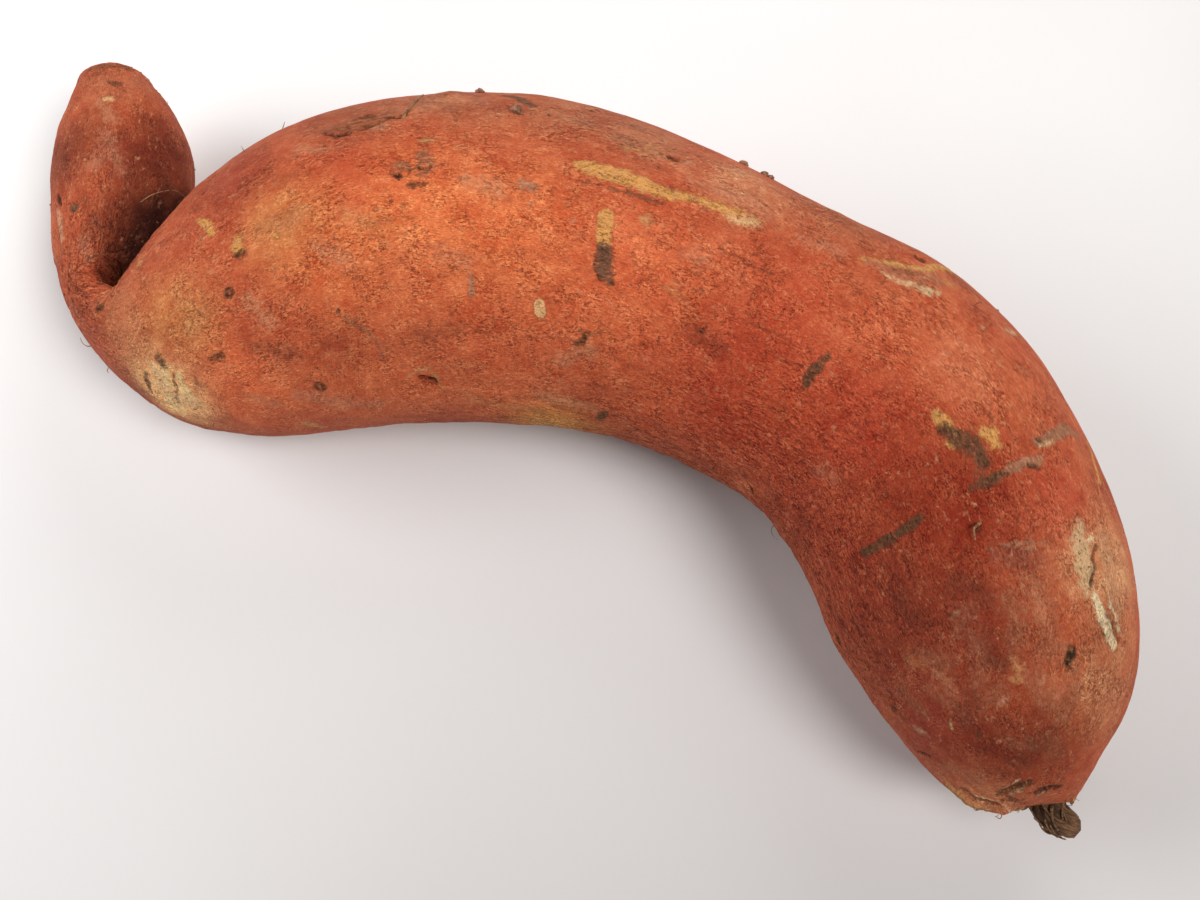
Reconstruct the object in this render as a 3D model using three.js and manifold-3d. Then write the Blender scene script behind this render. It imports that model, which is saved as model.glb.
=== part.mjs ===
// A sweet potato: one storage root, bent like a hook, whose thin tail folds back beside its
// thick end. A dry stub of the stalk it grew from is still seated in its blunt end.
// Millimetres, +Z up. It lies on the plane Z = 0, on three small flat spots where its own
// weight presses it level, and the origin is below the middle of its bounding box.

import * as THREE from "three";
import { mergeVertices } from "three/addons/utils/BufferGeometryUtils.js";
import Module from "manifold-3d";

// Driving dimensions
const RINGS_PER_STATION = 3; // rings of the root's surface from one station to the next
const POINTS_PER_RING = 40;
const STUB_RINGS_PER_STATION = 3;
const STUB_POINTS = 20;
const STUB_GAP = 0.3; // clearance all round between the stub and its socket in the root
const STUB_RIDGES = 5; // lengthwise ridges of dry fibre
const STUB_RIDGE_RISE = 0.09; // their height, as a share of the stub's radius

// Stations along the root, from the stalk end to the tip of the tail. x and y are the middle
// in plan and z its height; heading is the way the root runs in plan, in degrees from +X;
// across and up are half the width and half the height there.
const STATIONS = [
  // the blunt stalk end
  { x: 71.9, y: -61, z: 20.5, heading: 92, across: 7.2, up: 6.5 },
  { x: 71.2, y: -59.4, z: 21.5, heading: 94, across: 9.6, up: 10.5 },
  { x: 70.6, y: -55.8, z: 23, heading: 97, across: 12.9, up: 14.8 },
  { x: 70.6, y: -49.5, z: 24.4, heading: 101, across: 17.5, up: 19.6 },
  { x: 69.1, y: -40, z: 25.4, heading: 104, across: 22, up: 23.6 },
  // the right leg, and the bend
  { x: 65.8, y: -27, z: 26, heading: 106, across: 25.7, up: 25.6 },
  { x: 61.9, y: -13.6, z: 27, heading: 112, across: 26.8, up: 26 },
  { x: 54.9, y: 0.9, z: 27.6, heading: 123, across: 27.4, up: 26.4 },
  { x: 44.4, y: 12.9, z: 27.8, heading: 139, across: 27.4, up: 26.8 },
  { x: 30.1, y: 20.6, z: 28.4, heading: 150, across: 26.5, up: 27.2 },
  { x: 15.6, y: 27.5, z: 29.4, heading: 156, across: 27.6, up: 28 },
  // the belly, the thickest part
  { x: -1, y: 33.3, z: 30.8, heading: 167, across: 29.5, up: 28.8 },
  { x: -19, y: 36.8, z: 31, heading: 177, across: 30.4, up: 29.2 },
  { x: -37, y: 36.6, z: 30, heading: 184, across: 30, up: 28.6 },
  { x: -52, y: 33.8, z: 28.4, heading: 191, across: 28.6, up: 27.2 },
  { x: -64.2, y: 29.4, z: 26.4, heading: 195, across: 25.3, up: 25.4 },
  { x: -74.4, y: 25.6, z: 24.6, heading: 196, across: 20.4, up: 22.2 },
  { x: -82.4, y: 23.4, z: 23, heading: 192, across: 14.6, up: 18.6 },
  // the fold, where the root is pinched and turns back on itself
  { x: -88.1, y: 24.3, z: 21.8, heading: 179, across: 9.1, up: 15.6 },
  { x: -92.1, y: 27.5, z: 20.8, heading: 150, across: 6.4, up: 13.6 },
  { x: -95, y: 32.3, z: 19.8, heading: 118, across: 6.5, up: 12.2 },
  // the tail
  { x: -95.6, y: 37.4, z: 18.8, heading: 95, across: 9, up: 11.6 },
  { x: -95.9, y: 43.5, z: 17.8, heading: 89, across: 11.4, up: 11.8 },
  { x: -95.8, y: 50.5, z: 17.4, heading: 88, across: 13.2, up: 12.4 },
  { x: -96.2, y: 59, z: 17.4, heading: 89, across: 13.9, up: 13.2 },
  { x: -96.5, y: 67, z: 17.8, heading: 91, across: 13.7, up: 12.8 },
  { x: -97.8, y: 74.8, z: 18.4, heading: 94, across: 11.5, up: 10.8 },
  { x: -99.4, y: 80.8, z: 19, heading: 97, across: 8.4, up: 8.2 },
  { x: -100.5, y: 84.3, z: 19.4, heading: 98, across: 6.8, up: 6.6 },
  { x: -100.8, y: 85.8, z: 19.6, heading: 98, across: 4.4, up: 4 },
];

// Swellings and hollows: the surface within reach of a point moves out or, below zero, in.
const SWELLINGS = [
  // the three low places it rests on, under the leg, the back and the thick end
  { x: 67, y: -26, z: 0, reach: 15, rise: 1 },
  { x: 12, y: 39, z: 2, reach: 16, rise: 3 },
  { x: -60, y: 25, z: 0, reach: 15, rise: 2 },
  // along the top
  { x: -46, y: 42, z: 56, reach: 19, rise: 1.1 },
  { x: -10, y: 18, z: 57, reach: 16, rise: -0.9 },
  { x: 24, y: 34, z: 54, reach: 15, rise: 0.9 },
  { x: 52, y: 12, z: 53, reach: 16, rise: -0.7 },
  { x: 74, y: -22, z: 49, reach: 15, rise: 0.9 },
  // on the outer side
  { x: 4, y: 62, z: 36, reach: 15, rise: 0.9 },
  { x: 43, y: 38, z: 30, reach: 12, rise: -1.2 },
  { x: 66, y: 20, z: 28, reach: 16, rise: 0.8 },
  { x: 84, y: -58, z: 30, reach: 9, rise: -0.8 },
  // on the inner side
  { x: -24, y: 8, z: 28, reach: 13, rise: 0.7 },
  { x: 10, y: 4, z: 26, reach: 15, rise: -0.6 },
  { x: 46, y: -24, z: 24, reach: 13, rise: 0.6 },
];

// The dry stub of the stalk, from its seat in the root's blunt end to its broken tip.
const STUB_STATIONS = [
  { x: 75.2, y: -57.4, z: 20.4, radius: 3 },
  { x: 75.7, y: -59.8, z: 20, radius: 3.1 },
  { x: 76.4, y: -61.7, z: 19.5, radius: 3 },
  { x: 77.6, y: -63.1, z: 19, radius: 2.7 },
  { x: 79.2, y: -63.9, z: 18.6, radius: 2.3 },
  { x: 80.8, y: -64.2, z: 18.4, radius: 1.4 },
];

// A curve through the stations' value of each of three properties.
function curveOf(stations, ...properties) {
  const points = stations.map((s) => new THREE.Vector3(...properties.map((p) => s[p])));
  return new THREE.CatmullRomCurve3(points, false, "catmullrom", 0.5);
}

// A closed surface through rings of points, each ring drawn the same way round, with a
// middle point closing the first and the last.
function skinOver(rings) {
  const around = rings[0].length;
  const points = rings.flat();
  const middle = (ring) =>
    ring.reduce((sum, p) => sum.add(p), new THREE.Vector3()).divideScalar(around);
  const first = points.push(middle(rings[0])) - 1;
  const last = points.push(middle(rings.at(-1))) - 1;
  const end = (rings.length - 1) * around;
  const faces = [];
  for (let j = 0; j < around; j++) {
    const next = (j + 1) % around;
    faces.push(first, j, next, last, end + next, end + j);
    for (let i = 0; i < end; i += around) {
      faces.push(i + j, i + around + j, i + next);
      faces.push(i + next, i + around + j, i + around + next);
    }
  }
  return new THREE.BufferGeometry().setFromPoints(points).setIndex(faces);
}

// One ring round a middle: wide and high are vectors from it to the ring's side and its top,
// and shape gives how far out the ring lies at each angle, 1 being a plain ellipse.
function ringRound(middle, wide, high, count, shape = () => 1) {
  return Array.from({ length: count }, (_, j) => {
    const angle = (2 * Math.PI * j) / count;
    return middle
      .clone()
      .addScaledVector(wide, shape(angle) * Math.cos(angle))
      .addScaledVector(high, shape(angle) * Math.sin(angle));
  });
}

// The root's rings stand upright and fan round the fold, so that none crosses another.
function rootSurface() {
  const middles = curveOf(STATIONS, "x", "y", "z");
  const sizes = curveOf(STATIONS, "heading", "across", "up");
  const steps = (STATIONS.length - 1) * RINGS_PER_STATION;
  const rings = Array.from({ length: steps + 1 }, (_, i) => {
    const size = sizes.getPoint(i / steps);
    const heading = THREE.MathUtils.degToRad(size.x);
    const wide = new THREE.Vector3(Math.sin(heading), -Math.cos(heading), 0);
    const high = new THREE.Vector3(0, 0, size.z);
    return ringRound(
      middles.getPoint(i / steps),
      wide.multiplyScalar(size.y),
      high,
      POINTS_PER_RING,
    );
  });
  return swollen(skinOver(rings));
}

function swollen(geometry) {
  geometry.computeVertexNormals();
  const { position, normal } = geometry.attributes;
  const swellings = SWELLINGS.map(({ x, y, z, ...rest }) => ({
    centre: new THREE.Vector3(x, y, z),
    ...rest,
  }));
  const moved = Array.from({ length: position.count }, (_, i) => {
    const point = new THREE.Vector3().fromBufferAttribute(position, i);
    const outward = new THREE.Vector3().fromBufferAttribute(normal, i);
    const rises = swellings.map(
      (s) => s.rise * Math.exp(-((point.distanceTo(s.centre) / s.reach) ** 2)),
    );
    return point.addScaledVector(
      outward,
      rises.reduce((sum, rise) => sum + rise),
    );
  });
  return new THREE.BufferGeometry().setFromPoints(moved).setIndex(geometry.index);
}

function stubSurface(extra) {
  const middles = curveOf(STUB_STATIONS, "x", "y", "z");
  const sizes = curveOf(STUB_STATIONS, "radius", "radius", "radius");
  const steps = (STUB_STATIONS.length - 1) * STUB_RINGS_PER_STATION;
  const up = new THREE.Vector3(0, 0, 1);
  const rings = Array.from({ length: steps + 1 }, (_, i) => {
    const along = middles.getTangent(i / steps);
    const wide = new THREE.Vector3().crossVectors(along, up).normalize();
    const high = new THREE.Vector3().crossVectors(wide, along);
    const radius = sizes.getPoint(i / steps).x + extra;
    return ringRound(
      middles.getPoint(i / steps),
      wide.multiplyScalar(radius),
      high.multiplyScalar(radius),
      STUB_POINTS,
      (angle) => 1 + STUB_RIDGE_RISE * Math.cos(STUB_RIDGES * angle),
    );
  });
  return skinOver(rings);
}

const wasm = await Module();
wasm.setup();

function solidFrom(geometry) {
  const bare = geometry.clone().deleteAttribute("normal").deleteAttribute("uv");
  const merged = mergeVertices(bare);
  return new wasm.Manifold(
    new wasm.Mesh({
      numProp: 3,
      vertProperties: merged.attributes.position.array,
      triVerts: new Uint32Array(merged.index.array),
    }),
  );
}

function meshFrom(solid, name, material) {
  const { vertProperties, triVerts } = solid.getMesh();
  const geometry = new THREE.BufferGeometry()
    .setAttribute("position", new THREE.BufferAttribute(vertProperties, 3))
    .setIndex(new THREE.BufferAttribute(triVerts, 1));
  geometry.computeVertexNormals();
  const mesh = new THREE.Mesh(geometry, material);
  mesh.name = name;
  return mesh;
}

// Everything below the plane the root lies on.
const FLOOR = new THREE.BoxGeometry(300, 300, 40).translate(0, 0, -20);

const stub = solidFrom(stubSurface(0));
const socket = solidFrom(stubSurface(STUB_GAP));
const root = solidFrom(rootSurface()).subtract(solidFrom(FLOOR)).subtract(socket);

const skin = new THREE.MeshStandardMaterial({ color: 0xb5532f, roughness: 0.65 });
const dryStalk = new THREE.MeshStandardMaterial({ color: 0x5a4030, roughness: 0.9 });

const object = new THREE.Group();
object.name = "sweet_potato";
object.add(meshFrom(root, "storage_root", skin), meshFrom(stub, "stalk_stub", dryStalk));

const bounds = new THREE.Box3().setFromObject(object);
const middle = bounds.getCenter(new THREE.Vector3());
for (const mesh of object.children) mesh.geometry.translate(-middle.x, -middle.y, -bounds.min.z);

export default object;
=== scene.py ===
"""A sweet potato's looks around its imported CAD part.

The skin is the CAD root's own surface, subdivided and given its lumps, scars, pits and
wrinkles in geometry. Its fold is opened up to 5 mm beyond the CAD's. The colours come from
node materials that read what was stored on the mesh. Lengths in the tables are
millimetres in the row frame; Blender gets metres.
"""

import math
import random

import bmesh
import bpy
import numpy as np
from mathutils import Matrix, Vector
from mathutils.bvhtree import BVHTree


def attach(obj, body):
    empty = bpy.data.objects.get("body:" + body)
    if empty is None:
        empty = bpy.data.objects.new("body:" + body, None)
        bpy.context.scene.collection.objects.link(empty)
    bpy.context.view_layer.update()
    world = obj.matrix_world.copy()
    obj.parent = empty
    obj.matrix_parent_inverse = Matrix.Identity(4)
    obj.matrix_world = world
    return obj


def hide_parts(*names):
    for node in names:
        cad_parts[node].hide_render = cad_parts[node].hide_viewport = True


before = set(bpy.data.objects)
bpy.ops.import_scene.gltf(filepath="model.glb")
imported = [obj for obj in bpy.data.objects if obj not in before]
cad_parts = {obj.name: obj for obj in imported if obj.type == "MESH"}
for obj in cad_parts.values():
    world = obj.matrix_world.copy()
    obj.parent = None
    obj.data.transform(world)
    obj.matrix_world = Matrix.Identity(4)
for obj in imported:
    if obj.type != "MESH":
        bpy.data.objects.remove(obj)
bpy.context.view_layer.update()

MM = 0.001

# --- camera: the root lies down and is looked down on from in front of its inner side ---
# Chosen as a compromise, not fitted: nothing in the photo settles these numbers.
CAMERA_ELEVATION = 70  # degrees above the surface
CAMERA_DISTANCE = 232
CAMERA_TARGET = (9.7, -10.1, 28)
CAMERA_LENS, CAMERA_SENSOR = 39, 36  # millimetres

# --- colours, linear, tuned together with the lights ---
# They hold some of the photo's own shading.
BASE_RED = (0.49, 0.105, 0.045)
ORANGE = (0.7, 0.17, 0.06)
SALMON = (0.68, 0.15, 0.06)
RED = (0.51, 0.07, 0.03)
DEEP_RED = (0.43, 0.05, 0.024)
DARK_RED = (0.3, 0.046, 0.024)
BROWN_RED = (0.215, 0.036, 0.016)
BROWNISH = (0.45, 0.11, 0.048)
LIT_BROWN = (0.74, 0.18, 0.072)
DULL = (0.43, 0.145, 0.072)
PALE_RED = (0.6, 0.14, 0.06)
PALE_DULL = (0.64, 0.26, 0.135)
PALE_ORANGE = (0.5, 0.15, 0.066)
PALE_TAN = (0.68, 0.31, 0.155)
YELLOWISH = (0.58, 0.205, 0.072)
TAN = (0.8, 0.37, 0.095)
OCHRE = (0.66, 0.28, 0.1)
YELLOW = (0.9, 0.46, 0.1)
CREAM = (0.98, 0.76, 0.46)
PALE = (0.88, 0.5, 0.22)
WHITISH = (0.8, 0.51, 0.265)
PINKTAN = (0.68, 0.27, 0.15)
GREYTAN = (0.5, 0.22, 0.12)
MAUVE = (0.24, 0.066, 0.042)
BROWN = (0.26, 0.09, 0.04)
GREYBR = (0.16, 0.066, 0.031)
GREY = (0.2, 0.09, 0.05)
# FLANK is painted shade: the body's shadow on the tail's inner flank.
FLANK = (0.12, 0.015, 0.006)
LEG_RED = (0.43, 0.062, 0.029)
LEG_BROWN = (0.235, 0.037, 0.0165)
RIM = (0.45, 0.17, 0.09)
RIM_RED = (0.3, 0.085, 0.042)
BLOTCH = (0.62, 0.19, 0.095)
BUFF = (1, 0.6, 0.29)
OUTER_RED = (0.55, 0.1, 0.05)
SIDE_RED = (0.165, 0.03, 0.014)
LEG_UPPER = (0.27, 0.03, 0.011)
# Painted shade: the shadow deep in the fold between the tail and the body.
PAINTED_FOLD_SHADE = (0.045, 0.008, 0.004)
BROWNTAN = (0.44, 0.185, 0.1)
SCABRED = (0.42, 0.12, 0.05)
STRAW = (1, 0.7, 0.33)
DUSK = (0.15, 0.03, 0.016)
DUN = (0.38, 0.135, 0.066)
UMBER = (0.12, 0.04, 0.015)
RUST = (0.2, 0.03, 0.012)
OLIVE = (0.04, 0.026, 0.01)
DARK = (0.045, 0.015, 0.007)
CRACK = (0.15, 0.022, 0.01)

# --- the middle of the root, from the stalk end to the tail's tip: x, y, z, radius ---
SPINE = [
    (81.6, -71.0, 20.5, 7.5),
    (80.3, -59.6, 24.4, 18.5),
    (75.5, -37.1, 26.0, 25.6),
    (64.6, -9.2, 27.6, 27.0),
    (39.8, 10.5, 28.4, 27.0),
    (8.7, 23.2, 30.8, 29.0),
    (-27.3, 26.5, 30.0, 29.4),
    (-54.5, 19.3, 26.4, 25.4),
    (-72.7, 13.3, 23.0, 16.6),
    (-80.5, 15.5, 21.2, 10.5),
    (-85.3, 22.2, 19.8, 9.0),
    (-86.2, 33.4, 17.8, 11.6),
    (-86.5, 48.9, 17.4, 13.5),
    (-88.1, 64.7, 18.4, 11.0),
    (-91.0, 75.5, 19.6, 4.5),
]

# --- broad areas of colour: name, middle, reach, colour, strength ---
# "inside the fold", "inside the fold, low" and "tail, inner side" are painted shade: the shadow
# in the fold and the body's shadow on the tail's flank.
AREAS = [
    ("brightest part of the belly", (-20, 19, 58), 11, ORANGE, 0.95),
    ("belly towards the fold", (-35, 17, 57), 10, ORANGE, 0.85),
    ("belly towards the bend", (-3, 16, 58), 10, ORANGE, 0.75),
    ("belly low", (-7, 2, 48), 12, SALMON, 0.3),
    ("middle", (16, 9, 55), 11, SALMON, 0.85),
    ("middle low", (30, -7, 45), 11, DEEP_RED, 0.7),
    ("middle low edge", (17, -7, 37), 7, SALMON, 0.3),
    ("before the bend", (42, 1, 54), 10, RED, 0.7),
    ("bend, outer", (59, 2, 54), 12, PALE_RED, 0.6),
    ("bend, middle", (52, -15, 50), 10, DEEP_RED, 0.7),
    ("bend, inner", (43, -23, 38), 8, LEG_RED, 0.6),
    ("leg, inner", (51, -35, 39), 9, LEG_RED, 0.65),
    ("leg, middle", (63, -45, 46), 12, LEG_BROWN, 0.9),
    ("leg, upper", (65, -27, 52), 9, LEG_UPPER, 0.9),
    ("leg, low inner", (63, -60, 34), 9, DARK_RED, 0.9),
    ("stalk end", (75, -64, 40), 9, BROWN_RED, 0.95),
    ("leg, outer", (90, -36, 47), 7, PALE_TAN, 1),
    ("leg, outer low", (90, -54, 43), 7, PALE_TAN, 0.5),
    ("leg, outer red", (82, -27, 52), 6, OUTER_RED, 0.6),
    ("bend, outer edge", (87, 1, 40), 9, PALE_RED, 0.5),
    # The rim rows below give the far edge a paler, duller colour: partly the skin's own tone,
    # partly painted sheen of the light grazing that edge.
    ("bend, outer rim", (73, 19, 41), 6, DULL, 0.5),
    ("pale blotch on the bend", (69, -5, 53), 5, BLOTCH, 0.7),
    ("back rim a", (3, 43, 54), 7, DULL, 0.75),
    ("back rim b", (18, 39, 54), 7, RIM, 0.8),
    ("back rim c", (35, 29, 54), 6, PALE_DULL, 0.9),
    ("back rim d", (51, 23, 50), 6, DULL, 0.5),
    ("back rim e", (-35, 42, 54), 7, RIM_RED, 0.75),
    ("back rim f", (-20, 46, 54), 6, RIM, 0.8),
    ("back rim g", (-11, 42, 57), 5, DULL, 0.6),
    ("red below the dents", (-35, 27, 58), 7, DEEP_RED, 0.5),
    ("shoulder by the fold", (-53, 31, 52), 7, DARK_RED, 0.8),
    ("yellowish streak", (-43, 20, 56), 6, YELLOWISH, 0.75),
    ("yellowish blotch", (-26, 17, 57), 4, YELLOWISH, 0.3),
    ("blotch low on the belly", (-23, 11, 55), 5, PALE_RED, 0.5),
    ("left end", (-74, 8, 39), 7, PALE_ORANGE, 1),
    ("left end, ochre", (-62, 8, 45), 6, YELLOWISH, 0.9),
    ("left end, low", (-66.5, -1, 31), 6.5, BUFF, 1),
    ("belly, lower edge a", (-52, -3, 35), 8, LIT_BROWN, 0.65),
    ("belly, lower edge b", (-27, -3, 35), 8, LIT_BROWN, 0.6),
    ("belly, lower edge c", (-6, -4, 34), 7, LIT_BROWN, 0.6),
    ("ochre at the lower edge", (1, -5, 27), 6.5, TAN, 0.9),
    ("tail, tip", (-88, 67, 29), 5, DULL, 0.6),
    ("tail, outer side", (-93, 51, 29), 7, SIDE_RED, 0.85),
    ("tail, middle", (-84, 44, 30), 8, DARK_RED, 0.3),
    ("tail, pale", (-87, 47, 30), 4, PALE_RED, 0.35),
    # painted shade: the body's shadow on the tail's inner flank
    ("tail, inner side", (-76, 53, 26), 8, FLANK, 0.85),
    ("neck", (-83, 22, 32), 7, PALE_RED, 0.3),
    # painted shade: the shadow inside the fold
    ("inside the fold", (-76.5, 39.5, 22), 7.5, PAINTED_FOLD_SHADE, 1),
    ("inside the fold, low", (-78, 31, 23), 7, PAINTED_FOLD_SHADE, 0.9),
    ("callus", (73, -70, 24), 7, PALE_TAN, 0.35),
]

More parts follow.
